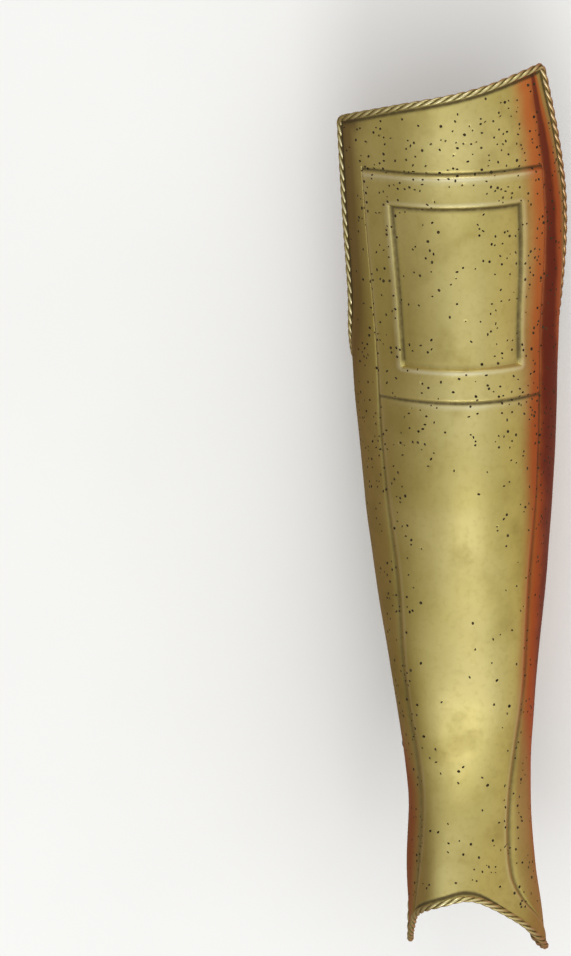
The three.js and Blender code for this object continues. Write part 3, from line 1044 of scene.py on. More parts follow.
@dataclass(frozen=True)
class WeatheringAndPaintedLight:
    """Strengths of dirt, wear, tarnish and pits and of painted shade, highlights and reflection,
    and the places across the band where they begin.
    """

    line_dirt: float = 0.85
    # Painted shade at the foot of the sunk field's walls.
    wall_shade: float = 0.8
    gully_dirt: float = 0.95
    gully_dirt_width: float = 1.5
    # Painted highlights, with some rubbed wear, along the panel's top, its lower edge and its
    # sides.
    top_wear_and_highlight: float = 1.2
    bottom_wear_and_highlight: float = 0.7
    side_wear_and_highlight: float = 0.45
    # Red tarnish with a painted reflection of a warm room: where it starts across the band and
    # where it fades.
    red_start: float = 0.54
    red_start_shin: float = 0.16
    red_start_ankle: float = 0.46
    red_length: float = 0.72
    red_fading: float = 0.9
    red_fading_start: float = 1.4
    red_inner: float = 0.5
    # Painted dark reflection on the inner side and painted shadow of the border beside the knee
    # wing's rim, with some brown tarnish.
    brown: float = 0.5
    brown_start: float = 1.08
    brown_rim: float = 0.75
    brown_rim_start: float = 0.75
    shin: float = 300
    ankle: float = 150
    pits_everywhere: float = 0.085
    pits_over_panel: float = 0.75
    pits_under_panel: float = 0.7
    pits_frame: float = 0.38
    pits_beside: float = 0.75
    pits_groove: float = 0.6
    pits_inner_groove: float = 0.5
    pits_shin: float = 0.3
    pits_ankle: float = 0.35
    pits_field: float = 0.34
    pit_free_rim: float = 5.5
    shin_top: float = 330
    shin_foot: float = 100


@dataclass(frozen=True)
class GreavePlate:
    """The one-piece plate: its grid, embossing, slots and pits."""

    form: LegForm
    emboss: Emboss
    ripple: Ripple = Ripple()
    pitting: Pitting = Pitting()
    weathering_and_painted_light: WeatheringAndPaintedLight = WeatheringAndPaintedLight()
    slots: tuple = (StrapSlot(340, 22), StrapSlot(121, 26))
    rim_inset: float = 1.0
    margin: float = 6.0
    least_side: float = 3
    least_margin: float = 0.5
    gully_place: float = 3.1
    gully_width: float = 0.95
    gully_depth: float = 0.45
    coarse: int = 3
    fan_foot: float = 90
    arch_start: float = 56.0

    # grid ------------------------------------------------------------------------------

    def angle(self, share: Array, height: Array, sign: Array) -> Array:
        """Degrees round the leg of a place on the plate.

        Args:
            share: 0 at the middle, 1 at the band's edge, 2 at the margin, 3 at the rim.
            height: Height up the leg.
            sign: Sign of the side.

        Returns:
            Degrees from the front, below zero on the inner side.
        """
        form = self.form
        band = form.band(height) + sign * form.swing(height)
        edge = form.edge_angle(height, sign)
        size = form.per_degree(sign * edge, height)
        margin = np.maximum(edge - self.margin / size, band + self.least_side)
        rim = np.maximum(edge - self.rim_inset / size, margin + self.least_margin)
        near = band * np.minimum(share, 1)
        side = (margin - band) * np.clip(share - 1, 0, 1)
        last = (rim - margin) * np.clip(share - 2, 0, 1)
        return sign * (near + side + last)

    def ends(self, share: Array, sign: Array) -> tuple[Array, Array]:
        """Heights where columns meet the lower and the upper edge.

        Args:
            share: Share of each column, as in angle().
            sign: Sign of each column's side.

        Returns:
            Heights of the feet and of the heads.
        """
        found = []
        for line, start, steps in (
            (self.form.lower_edge, self.arch_start, 60),
            (self.form.upper_edge, self.form.top_low, 20),
        ):
            height = np.full(share.shape, float(start))
            for _ in range(steps):
                height += 0.5 * (line(self.angle(share, height, sign)) - height)
            found.append(height)
        return tuple(found)

    def columns(self) -> tuple[Array, Array]:
        """Shares and signs of all columns, from the inner rim to the outer rim."""
        share = graded(
            (0, 0.615, 12), (0.615, 0.705, 9), (0.705, 0.955, 6), (0.955, 1.06, 9),
            (1.06, 2, 24), (2, 3, 9),
        )
        shares = np.concatenate([share[:0:-1], share])
        signs = np.concatenate([-np.ones(len(share) - 1), np.ones(len(share))])
        return shares, signs

    def _rows(self, foot: Array, head: Array) -> Array:
        """Heights of every row of each column.

        Args:
            foot: Height of each column's foot.
            head: Height of each column's head.

        Returns:
            Heights, with a row for each column.
        """
        e = self.emboss
        fixed = graded(
            (self.fan_foot, e.panel_bottom - 4, 123), (e.panel_bottom - 4, e.panel_bottom + 3, 12),
            (e.panel_bottom + 3, e.sunk_bottom - 5, 6), (e.sunk_bottom - 5, e.sunk_bottom + 2, 12),
            (e.sunk_bottom + 2, e.sunk_top - 2, 42), (e.sunk_top - 2, e.sunk_top + 5, 12),
            (e.sunk_top + 5, e.panel_top - 3, 4), (e.panel_top - 3, e.panel_top + 4, 12),
        )
        lower = foot[:, None] + np.linspace(self.rim_inset, self.margin, 9)
        upper = head[:, None] - np.linspace(self.margin, self.rim_inset, 9)
        fan = np.linspace(0, 1, 36)[1:-1]
        fan_rows = lower[:, -1:] + (self.fan_foot - lower[:, -1:]) * fan
        top = np.linspace(0, 1, 15)[1:-1]
        top_rows = fixed[-1] + (upper[:, :1] - fixed[-1]) * top
        middle = np.broadcast_to(fixed, (len(foot), len(fixed)))
        return np.concatenate([lower, fan_rows, middle, top_rows, upper], axis=1)

    def outlines(self, share: Array, height: Array, sign: Array) -> dict[str, Array]:
        """Signed distances to the embossed outlines at places on the plate."""
        band = self.form.band(height) + sign * self.form.swing(height)
        width = band * self.form.per_degree(sign * band, height)
        return self.emboss.distances(share, height, width)

    def raised(self, share: Array, height: Array, sign: Array) -> Array:
        """Height of the embossing alone at places on the plate."""
        return self.emboss.relief(self.outlines(share, height, sign))

    def places(self, share: Array, height: Array, sign: Array, foot: Array, head: Array) -> dict:
        """Everything that is known about places on the plate.

        Args:
            share: Share of each place, as in angle().
            height: Height up the leg.
            sign: Sign of the side.
            foot: Height of the lower edge below each place.
            head: Height of the upper edge above each place.

        Returns:
            Angle, points of the outer face, normals and distances there.
        """
        form = self.form
        angle = self.angle(share, height, sign)
        normal = form.normal(angle, height)
        away = self.outlines(share, height, sign)
        edge = form.edge_angle(height, sign)
        to_side = np.abs(edge - np.abs(angle)) * form.per_degree(sign * edge, height)
        to_rim = np.minimum(np.minimum(to_side, (height - foot) * 0.85), head - height)
        gully = ridge(to_rim - self.gully_place, self.gully_width)
        lift = self.emboss.relief(away) - self.gully_depth * gully
        lift = lift + self.ripple(angle * 1.1, height)
        outer = form.point(angle, height) + normal * lift[..., None]
        return {
            "angle": angle, "outer": outer, "normal": normal, "away": away,
            "to_rim": to_rim, "share": share, "height": height, "sign": sign,
        }

    # masks -----------------------------------------------------------------------------

    def masks(self, at: dict) -> dict[str, Array]:
        """Strength of dirt, wear, tarnish and pitting and of painted shade, highlights and
        reflection at each place.

        Args:
            at: What places() gave.

        Returns:
            Values from 0 to 1 by the name of the attribute.
        """
        return {
            **self._dirt_shade_wear_and_highlight(at),
            "red": self._red(at),
            "brown": self._brown(at),
            "pitting": self._pitting(at),
        }

    def _dirt_shade_wear_and_highlight(self, at: dict) -> dict[str, Array]:
        """Dirt in the lines and the gully and painted shade below the walls; painted highlights,
        with some wear, on the edges beside them.
        """
        w, e, away, height = self.weathering_and_painted_light, self.emboss, at["away"], at["height"]
        # Painted shade at the foot of the sunk field's walls, weaker at its lower wall, which
        # faces the light.
        upper_walls = 0.3 + 0.7 * smooth_step(height - e.sunk_bottom - 2.5, 2)
        foot_of_wall = upper_walls * ridge(away["sunk"] - 0.8, 1.7)
        chased = e.lines(away) * (0.72 + 0.28 * smooth_step(height - (e.panel_bottom - 10), 12))
        hollow = np.maximum(w.line_dirt * chased, w.wall_shade * foot_of_wall)
        gully = ridge(at["to_rim"] - self.gully_place + 0.2, w.gully_dirt_width)
        # Painted highlights, with some rubbed wear: brightest on the field's lower lip, which
        # faces the light, and along the panel's edges.
        lip = (1.3 - 0.7 * upper_walls) * ridge(away["sunk"] + 2.2, 1.15)
        crest = w.top_wear_and_highlight * ridge(away["top"] - 1.7, 1.3) * e.inside(away["band"])
        front = np.clip(1.3 - 1.4 * np.abs(at["share"]), 0, 1)
        crest += w.bottom_wear_and_highlight * ridge(away["bottom"] + 3.2, 1.3) * front
        crest += w.side_wear_and_highlight * ridge(away["band"] - 1.7, 0.9) * smooth_step(away["top"], 1.0)
        return {
            "hollow": np.maximum(hollow, w.gully_dirt * gully),
            "wear_and_highlight": np.clip(np.maximum(lip, crest), 0, 1),
        }

    def _red(self, at: dict) -> Array:
        """Red tarnish with a painted reflection of a warm room, over the outer side and a little
        round the inner ankle.
        """
        w, height, outer = self.weathering_and_painted_light, at["height"], at["sign"] * at["share"]
        lower = w.red_start_shin * smooth_step(w.shin - height, 60)
        lowest = w.red_start_ankle * smooth_step(w.ankle - height, 60)
        red = ramp(outer, w.red_start + lower + lowest, w.red_length)
        fading = 1 - w.red_fading * ramp(outer, w.red_fading_start, 0.6)
        inner_ankle = w.red_inner * smooth_step(w.ankle - height, 40) * ramp(-outer, 1.0, 0.35)
        return np.maximum(red * red * (3 - 2 * red) * fading, inner_ankle)

    def _brown(self, at: dict) -> Array:
        """Painted dark reflection on the inner side, with some brown tarnish, darker beside the
        rim of the knee wing with painted shadow of the border.
        """
        w, outer = self.weathering_and_painted_light, at["sign"] * at["share"]
        knee_wing = smooth_step(at["height"] - self.form.wing_corner, 12)
        beside_rim = np.clip(1.2 - at["to_rim"] / 13, 0, 1) * knee_wing
        rim = w.brown_rim * beside_rim * ramp(-outer, w.brown_rim_start, 0.5)
        return np.maximum(w.brown * ramp(-outer, w.brown_start, 0.55) ** 1.3, rim)

    def _pitting(self, at: dict) -> Array:
        """How thickly the pits lie: close round the panel and the edges, thin down the shin."""
        w, e = self.weathering_and_painted_light, self.emboss
        away, share, height = at["away"], at["share"], at["height"]
        outer = at["sign"] * share
        over = ridge(height - (e.panel_top + 14), 17) * w.pits_over_panel
        under = ridge(height - (e.panel_bottom - 18), 17) * w.pits_under_panel
        in_panel = (height > e.panel_bottom) & (height < e.panel_top)
        frame = np.where((away["band"] > 0) & (away["sunk"] < 0) & in_panel, w.pits_frame, 0)
        above_shin = smooth_step(height - w.shin_top, 40)
        below_knee = smooth_step(w.shin_top - height, 40)
        beside = w.pits_beside * ridge(share - 1.25, 0.3) * above_shin
        groove = w.pits_groove * ridge(share - 1.12, 0.2) * below_knee
        inner_groove = w.pits_inner_groove * ridge(-outer - 0.86, 0.16)
        above_ankle = smooth_step(height - w.ankle, 30)
        groove += inner_groove * above_ankle * smooth_step(w.shin_top + 5 - height, 30)
        shin_outer = w.pits_shin * ridge(outer - 0.62, 0.35) * smooth_step(height - 240, 60)
        ankle = w.pits_ankle * smooth_step(w.shin_foot - height, 30)
        field = w.pits_field * smooth_step(height - (e.sunk_bottom - 5), 20)
        total = w.pits_everywhere + over + under + frame + beside + groove
        total = total + shin_outer + ankle + field
        clouds = self.ripple(at["angle"] * 3.1 + 40, height * 2.3) / (self.ripple.height * 4)
        total = total * (0.75 + 0.5 * np.clip(clouds, -1, 1))
        safe = smooth_step(at["to_rim"] - w.pit_free_rim, 0.6)
        walls = 1 - ridge(away["sunk"], 1.4)
        return np.clip(total, 0, 1) * safe * walls

    # mesh ------------------------------------------------------------------------------

    def _shell(self, across: int, along: int) -> tuple[list, Array]:
        """Faces of the closed shell: a fine outer face, a coarse inner face and the rim.

        Args:
            across: Number of columns of the outer face.
            along: Number of rows of the outer face.

        Returns:
            The faces, and the numbers of the outer vertices under the inner ones.
        """
        step = self.coarse
        cols = np.arange(0, across, step)
        rows = np.arange(0, along, step)
        count = across * along
        grid = np.arange(count).reshape(across, along)
        under = grid[np.ix_(cols, rows)]
        inner = count + np.arange(under.size).reshape(under.shape)
        a, b, c, d = grid[:-1, :-1], grid[1:, :-1], grid[1:, 1:], grid[:-1, 1:]
        faces = np.stack([a, b, c, d], -1).reshape(-1, 4).tolist()
        a, b, c, d = inner[:-1, 1:], inner[1:, 1:], inner[1:, :-1], inner[:-1, :-1]
        faces += np.stack([a, b, c, d], -1).reshape(-1, 4).tolist()
        rims = (
            (grid[::-1, 0], inner[::-1, 0]), (grid[-1, ::-1], inner[-1, ::-1]),
            (grid[:, -1], inner[:, -1]), (grid[0, :], inner[0, :]),
        )
        for fine, plain in rims:
            for k in range(len(plain) - 1):
                run = [int(v) for v in fine[k * step : (k + 1) * step + 1]]
                faces += [[run[i], run[i + 1], int(plain[k])] for i in range(step - 1)]
                faces.append([run[-2], run[-1], int(plain[k + 1]), int(plain[k])])
        return faces, under.reshape(-1)

    def build(self, place: "Placing", brass: Material, dirt: Material) -> Object:
        """Builds the finished plate.

        Args:
            place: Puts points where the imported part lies.
            brass: Material of the plate.
            dirt: Material of its pits.

        Returns:
            The plate, with its slots and pits cut.
        """
        shares, signs = self.columns()
        foot, head = self.ends(shares, signs)
        heights = self._rows(foot, head)
        grid = np.ones_like(heights)
        at = self.places(
            shares[:, None] * grid, heights, signs[:, None] * grid,
            foot[:, None] * grid, head[:, None] * grid,
        )
        faces, under = self._shell(*heights.shape)
        outer = at["outer"].reshape(-1, 3)
        normal = at["normal"].reshape(-1, 3)
        inner = outer[under] - self.form.sheet * normal[under]
        body = mesh_object("plate_body", place.world(np.concatenate([outer, inner])), faces)
        for name, values in self.masks(at).items():
            flat = values.reshape(-1)
            behind = 0 * flat[under] if name == "pitting" else flat[under]
            write_mask(body.data, name, np.concatenate([flat, behind]))
        body.data.materials.append(brass)
        return self._cut(body, place, dirt)

    def _cut(self, body: Object, place: "Placing", dirt: Material) -> Object:
        """Cuts the strap slots and the pits into the plate."""
        slots = self._slot_cutters(place)
        slots.data.materials.append(body.data.materials[0])
        pits = self.pitting.cutters(body, dirt)
        for cutter in (slots, pits):
            modifier = body.modifiers.new(cutter.name, "BOOLEAN")
            modifier.operation = "DIFFERENCE"
            modifier.solver = "MANIFOLD"
            modifier.object = cutter
            modifier.material_mode = "TRANSFER"
        uncut = body.data
        plate = plain_copy(body, "embossed_plate")
        for cutter in (slots, pits):
            bpy.data.objects.remove(cutter)
        self._carry(uncut, plate.data)
        bpy.data.meshes.remove(uncut)
        plate.data.set_sharp_from_angle(angle=math.radians(38))
        return plate

    @staticmethod
    def _carry(uncut: Mesh, cut: Mesh) -> None:
        """Gives every vertex of the cut plate the masks of the nearest uncut one."""
        tree = KDTree(len(uncut.vertices))
        for vertex in uncut.vertices:
            tree.insert(vertex.co, vertex.index)
        tree.balance()
        nearest = np.array([tree.find(vertex.co)[1] for vertex in cut.vertices])
        for name in ("hollow", "wear_and_highlight", "red", "brown"):
            write_mask(cut, name, read_mask(uncut, name)[nearest])

    def _slot_cutters(self, place: "Placing") -> Object:
        """All four slot cutters as one object."""
        points, faces = [], []
        for side in Side:
            for slot in self.slots:
                some, walls = slot.cutter(self.form, side)
                start = sum(len(p) for p in points)
                points.append(some)
                faces += [tuple(start + i for i in face) for face in walls]
        return mesh_object("slot_cutters", place.world(np.concatenate(points)), faces)


@dataclass(frozen=True)
class Placing:
    """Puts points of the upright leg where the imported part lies."""

    form: LegForm
    shift: Array

    @classmethod
    def on_node(cls, plate: GreavePlate, node: str) -> "Placing":
        """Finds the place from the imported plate's box.

        Args:
            plate: The plate whose bare form is laid over the node.
            node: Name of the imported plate.

        Returns:
            The placing, which brings the middles of both boxes together.
        """
        form = plate.form
        shares, signs = plate.columns()
        foot, head = plate.ends(shares, signs)
        grid = np.ones((1, 200))
        rows = np.linspace(0, 1, 200)
        low = foot[:, None] + form.border_inset
        heights = low + (head[:, None] - form.border_inset - low) * rows
        sign = signs[:, None] * grid
        angle = plate.angle(shares[:, None] * grid, heights, sign)
        edge = form.edge_angle(heights, sign)
        cut = edge - form.border_inset / form.per_degree(sign * edge, heights)
        angle = sign * np.minimum(np.abs(angle), cut)
        share = np.minimum(shares[:, None] * grid, 3)
        normal = form.normal(angle, heights)
        face = form.point(angle, heights) + normal * plate.raised(share, heights, sign)[..., None]
        both = np.concatenate([face, face - form.sheet * normal])
        lying = form.turned(both.reshape(-1, 3))
        middle = (lying.min(0) + lying.max(0)) / 2
        low_corner, high_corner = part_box(node)
        target = np.array((low_corner + high_corner) / 2) / MM
        return cls(form, target - middle)

    def world(self, points: Array) -> Array:
        """Points in metres, as the part lies."""
        return (self.form.turned(points) + self.shift) * MM


# --- Roped border --------------------------------------------------------------------------


@dataclass(frozen=True)
class RopedBorder:
    """Border worked as a rope that runs once round the whole plate."""

    plate: GreavePlate
    strands: int = 3
    strand_radius: float = 1.16
    strand_offset: float = 1.0
    pitch: float = -21.6
    step: float = 0.9
    sides: int = 8
    rounding: int = 5
    spacing: float = 1.6
    tarnish_and_reflection: float = 0.3

    def path(self) -> Array:
        """Middle line of the border as a closed run of points, upright."""
        lines = [self._edge(-1), self._end(1), self._edge(1)[::-1], self._end(-1)[::-1]]
        loop = np.concatenate([line[:-1] for line in lines])
        closed = np.concatenate([loop, loop[:1]])
        along = run_length(closed)
        count = int(along[-1] / self.spacing)
        wanted = np.linspace(0, along[-1], count, endpoint=False)
        even = np.stack([np.interp(wanted, along, closed[:, i]) for i in range(3)], 1)
        for _ in range(self.rounding):
            even = (np.roll(even, 1, 0) + 2 * even + np.roll(even, -1, 0)) / 4
        return even

    def _edge(self, sign: int) -> Array:
        """Middle line beside one back edge, from the ankle up."""
        foot, head = self._corner(sign, -1), self._corner(sign, 1)
        height = np.linspace(foot, head, 400)
        angle = sign * self.plate.form.edge_angle(height, sign)
        return self._inside(angle, height)

    def _corner(self, sign: int, which: int) -> float:
        """Height where a back edge meets the top edge (1) or the ankle edge (-1)."""
        form = self.plate.form
        line = form.upper_edge if which > 0 else form.lower_edge
        height = float(form.top_low) if which > 0 else 10.0
        for _ in range(40):
            angle = sign * form.edge_angle(np.array([height]), sign)
            height += 0.5 * (float(line(angle)[0]) - height)
        return height

    def _end(self, which: int) -> Array:
        """Middle line along the top edge (1) or the ankle edge (-1), from inner to outer."""
        form = self.plate.form
        ends = []
        for sign in (-1, 1):
            at = np.array([self._corner(sign, which)])
            ends.append(float(sign * form.edge_angle(at, sign)[0]))
        angle = np.linspace(*ends, 240)
        line = form.upper_edge if which > 0 else form.lower_edge
        return self._inside(angle, line(angle))

    def _inside(self, angle: Array, height: Array) -> Array:
        """Points halfway through the sheet, which is raised at the foot of the band."""
        form = self.plate.form
        sign = np.where(angle < 0, -1, 1)
        share = np.abs(angle) / (form.band(height) + sign * form.swing(height))
        away = self.plate.outlines(share, height, sign)
        raised = self.plate.emboss.band_raise * smooth_step(away["band"], 1.5)
        lift = np.where(height < 200, raised, 0) - form.sheet / 2
        return form.point(angle, height) + form.normal(angle, height) * lift[:, None]

    def _tree(self) -> NodeTree:
        """Geometry nodes that twist the strands round a closed curve."""
        floats = dict.fromkeys(("Turns", "Offset", "Radius", "Step"), "Float")
        inputs = {"Strands": "Int", **floats, "Sides": "Int", "Brass": "Material"}
        group, build, given = geometry_group("Rope strands", inputs)
        inputs = {"Curve": given["Geometry"], "Length": given["Step"]}
        even = build.add("GeometryNodeResampleCurve", inputs, mode="LENGTH").outputs[0]
        position = build.add("GeometryNodeInputPosition").outputs[0]
        axial = build.stored(even, "axis", position, "FLOAT_VECTOR")
        inputs = {"Geometry": axial, "Amount": given["Strands"]}
        copies = build.add("GeometryNodeDuplicateElements", inputs, domain="SPLINE").outputs
        marked = build.stored(copies[0], "strand", copies[1], "INT")
        number = build.sums("DIVIDE", build.kept("strand", "INT"), given["Strands"])
        run = build.add("GeometryNodeSplineParameter").outputs["Factor"]
        turns = build.sums("ADD", build.sums("MULTIPLY", run, given["Turns"]), number)
        turn = build.sums("MULTIPLY", turns, 2 * math.pi)
        tangent = build.add("GeometryNodeInputTangent").outputs[0]
        normal = build.add("GeometryNodeInputNormal").outputs[0]
        other = build.vectors("CROSS_PRODUCT", tangent, normal)
        first = build.scaled(normal, build.sums("COSINE", turn))
        second = build.scaled(other, build.sums("SINE", turn))
        offset = build.scaled(build.vectors("ADD", first, second), given["Offset"])
        twisted = build.add("GeometryNodeSetPosition", {"Geometry": marked, "Offset": offset})
        inputs = {"Resolution": given["Sides"], "Radius": given["Radius"]}
        ring = build.add("GeometryNodeCurvePrimitiveCircle", inputs, mode="RADIUS")
        inputs = {"Curve": twisted.outputs[0], "Profile Curve": ring.outputs[0]}
        tube = build.add("GeometryNodeCurveToMesh", inputs).outputs[0]
        inputs = {0: position, 1: build.kept("axis", "FLOAT_VECTOR")}
        apart = build.add("ShaderNodeVectorMath", inputs, operation="DISTANCE").outputs["Value"]
        outermost = build.sums("ADD", given["Offset"], given["Radius"])
        depth = build.sums("SUBTRACT", 1.0, build.sums("DIVIDE", apart, outermost))
        inputs = {"Geometry": build.stored(tube, "depth", depth, "FLOAT")}
        smooth = build.add("GeometryNodeSetShadeSmooth", inputs)
        build.dressed(smooth.outputs[0], given["Brass"])
        return group

    def build(self, place: Placing, brass: Material) -> Object:
        """Builds the border.

        Args:
            place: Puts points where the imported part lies.
            brass: Material of the border.

        Returns:
            The border as one plain mesh.
        """
        points = place.world(self.path())
        curve = bpy.data.curves.new("border_line", "CURVE")
        curve.dimensions = "3D"
        spline = curve.splines.new("POLY")
        spline.points.add(len(points) - 1)
        spline.points.foreach_set("co", np.c_[points, np.ones(len(points))].ravel())
        spline.use_cyclic_u = True
        line = linked("border_line", curve)
        length = np.linalg.norm(points - np.roll(points, 1, 0), axis=1).sum()
        values = {
            "Strands": self.strands,
            "Turns": float(round(length / (self.pitch * MM))),
            "Offset": self.strand_offset * MM,
            "Radius": self.strand_radius * MM,
            "Step": self.step * MM,
            "Sides": self.sides,
            "Brass": brass,
        }
        border = grown(line, self._tree(), values, "roped_border")
        self._masks(border)
        return border

    def _masks(self, border: Object) -> None:
        """Gives the border the attributes that its brass reads."""
        mesh = border.data
        depth = read_mask(mesh, "depth")
        places = np.zeros(len(mesh.vertices) * 3, np.float32)
        mesh.vertices.foreach_get("co", places)
        outer_side = ramp(places[::3] / MM, 40, 30)
        # Painted shade in the crevices between the strands.
        write_mask(mesh, "hollow", ramp(depth, 0.1, 0.22))
        # Painted highlights, with some wear, on the crowns of the strands.
        write_mask(mesh, "wear_and_highlight", np.clip(1.15 - depth / 0.12, 0, 1))
        # Red and brown on the rope's outer side: tarnish with painted reflection.
        for name in ("red", "brown"):
            write_mask(mesh, name, self.tarnish_and_reflection * outer_side)


# --- Laces ---------------------------------------------------------------------------------


@dataclass(frozen=True)
class Lace:
    """Leather thong that comes out of a slot, over the rim, and lies on the floor."""

    name: str
    node: str
    route: tuple
    exit: tuple
    radius: float = 1.7
    sides: int = 14
    step: float = 0.8
    unevenness: float = 0.05
    cap: float = 0.6
    seed: int = 3

    def path(self) -> Array:
        """Points of its middle line in metres, close together."""
        points = np.array(self.route, float)
        before = 2 * points[0] - points[1]
        after = 2 * points[-1] - points[-2]
        padded = np.concatenate([[before], points, [after]])
        run = []
        for p0, p1, p2, p3 in zip(padded, padded[1:], padded[2:], padded[3:]):
            pairs = ((p0, p1), (p1, p2), (p2, p3))
            t0, t1, t2, t3 = np.cumsum([0] + [np.linalg.norm(b - a) ** 0.5 for a, b in pairs])
            count = max(2, int(np.linalg.norm(p2 - p1) / self.step))
            t = np.linspace(t1, t2, count, endpoint=False)[:, None]
            a1, a2, a3 = (
                between(t, start, end, *pair)
                for (start, end), pair in zip(((t0, t1), (t1, t2), (t2, t3)), pairs)
            )
            b1, b2 = between(t, t0, t2, a1, a2), between(t, t1, t3, a2, a3)
            run.append(between(t, t1, t2, b1, b2))
        return np.concatenate([*run, points[-1:]]) * MM

    def build(self, leather: Material) -> None:
        path = self.path()
        centres, radii = self._stations(path)
        ways = np.gradient(centres, axis=0)
        ways /= np.linalg.norm(ways, axis=1, keepdims=True)
        across = np.cross(ways[0], (0, 0, 1.0))
        points = []
        turns = 2 * np.pi * np.arange(self.sides) / self.sides
        for centre, way, radius in zip(centres, ways, radii):
            across = across - way * (across @ way)
            across /= np.linalg.norm(across)
            other = np.cross(way, across)
            ring = np.cos(turns)[:, None] * across + np.sin(turns)[:, None] * other
            points.append(centre + ring * radius)
        faces, uvs = self._skin(centres)
        lace = mesh_object(self.name, np.concatenate(points), faces)
        layer = lace.data.uv_layers.new(name="lace")
        layer.data.foreach_set("uv", np.array(uvs).ravel())
        lace.data.materials.append(leather)
        finish_piece(lace, Slot.LACE, self.node)

    def _stations(self, path: Array) -> tuple[Array, Array]:
        """Centres and radii of the rings, with a rounded closing at each end."""
        rng = np.random.default_rng(self.seed)
        rough = rng.uniform(-1, 1, len(path))
        for _ in range(4):
            rough = (np.roll(rough, 1) + rough + np.roll(rough, -1)) / 3
        radii = self.radius * MM * (1 + self.unevenness * rough)
        first = (path[0] - path[1]) / np.linalg.norm(path[0] - path[1])
        last = (path[-1] - path[-2]) / np.linalg.norm(path[-1] - path[-2])
        size = self.radius * MM
        caps = [(0.5, 0.86), (0.8, 0.6), (0.96, 0.28), (0.995, 0.03)]
        start = [path[0] + first * size * self.cap * away for away, _ in reversed(caps)]
        end = [path[-1] + last * size * self.cap * away for away, _ in caps]
        centres = np.concatenate([start, path, end])
        shrunk = [size * share for _, share in caps]
        return centres, np.concatenate([shrunk[::-1], radii, shrunk])

    def _skin(self, centres: Array) -> tuple[list, list]:
        """Faces of the tube and the UV of each corner in millimetres."""
        n = self.sides
        along = run_length(centres) / MM
        girth = 2 * math.pi * self.radius
        faces, uvs = [], []
        for i in range(len(centres) - 1):
            for k in range(n):
                a, b = i * n + k, i * n + (k + 1) % n
                faces.append((a, b, b + n, a + n))
                u0, u1 = girth * k / n, girth * (k + 1) / n
                uvs += [(u0, along[i]), (u1, along[i]), (u1, along[i + 1]), (u0, along[i + 1])]
        last = (len(centres) - 1) * n
        faces += [tuple(reversed(range(n))), tuple(range(last, last + n))]
        uvs += [(0, 0)] * n + [(0, along[-1])] * n
        return faces, uvs


UPPER_LACE = Lace(
    name="upper_lace_thong",
    node="upper_lace",
    exit=(-49.4, 46, 17.1),
    route=(
        (-38.3, 44.9, 22), (-43.8, 45.2, 19.8), (-49.4, 46, 17.1), (-52.6, 47, 15.5),
        (-55.4, 48.6, 12.8), (-56.7, 50.4, 9.4), (-56.1, 52.2, 6.2), (-53.6, 54.2, 3.4),
        (-49.9, 56.4, 2), (-44.5, 59, 1.9), (-37.3, 61.2, 1.9), (-30, 61.8, 1.9),
        (-22, 59.2, 1.9), (-13, 51.9, 1.9), (-8, 40, 1.9), (-8, 26, 1.9), (-11.4, 12, 1.9),
        (-16.3, -2, 1.9), (-18.8, -18.1, 1.9), (-14.8, -35.6, 1.9), (-4.3, -49.1, 1.9),
    ),
)
LOWER_LACE = Lace(
    name="lower_lace_thong",
    node="lower_lace",
    exit=(-27.9, -164.8, 55.6),
    seed=8,
    route=(
        (-14.9, -163.3, 31.4), (-14.6, -163.5, 39.4), (-14.6, -163.7, 47.6),
        (-15.8, -164, 52.1), (-18.9, -164.3, 55.3), (-23.2, -164.6, 56.6),
        (-26.9, -164.8, 56), (-29.5, -164.8, 54.3), (-31.4, -164.5, 51.3),
        (-32, -163.8, 47.6), (-30.9, -162.5, 40), (-27.9, -161.1, 31.8),
        (-24.3, -160.3, 24.4), (-21.7, -159.7, 16.4), (-20.5, -158.7, 10),
        (-19.1, -155.7, 4.6), (-16.2, -150.1, 1.9), (-12.3, -143.1, 1.9),
    ),
)


# --- Viewpoint and studio ------------------------------------------------------------------


@dataclass(frozen=True)
class Viewpoint:
    """Camera over the front of the greave, given in the frame of the upright leg."""

    azimuth: float = -1.77
    elevation: float = 13.13
    roll: float = 0.63
    distance: float = 4.451
    target: tuple = (0, 0, 290)
    lens: float = 269.8
    sensor: float = 36
    right_of_middle: float = 0.1792
    below_middle: float = 0.0343

    def build(self, place: Placing) -> None:
        """Makes the scene's camera in the frame that a placing gives."""
        turn, tilt = math.radians(self.azimuth), math.radians(self.elevation)
        right = np.array([math.cos(turn), math.sin(turn), 0])
        back = np.array(
            [math.sin(turn) * math.cos(tilt), -math.cos(turn) * math.cos(tilt), math.sin(tilt)]
        )
        axes = place.form.turned(np.array([right, np.cross(back, right), back]))
        facing = Matrix(axes.tolist()).transposed()
        spot = Vector(place.world(np.array([self.target]))[0]) + facing.col[2] * self.distance
        focal = self.lens / self.sensor
        facing = facing @ Matrix.Rotation(-math.radians(self.roll), 3, "Z")
        facing = facing @ Matrix.Rotation(math.atan(self.right_of_middle / focal), 3, "Y")
        facing = facing @ Matrix.Rotation(math.atan(self.below_middle / focal), 3, "X")
        data = bpy.data.cameras.new("camera")
        data.sensor_fit = "VERTICAL"
        data.sensor_height = self.sensor
        data.lens = self.lens
        data.clip_start = 0.1
        data.clip_end = 60
        camera = linked("camera", data)
        camera.matrix_world = Matrix.Translation(spot) @ facing.to_4x4()
        bpy.context.scene.camera = camera


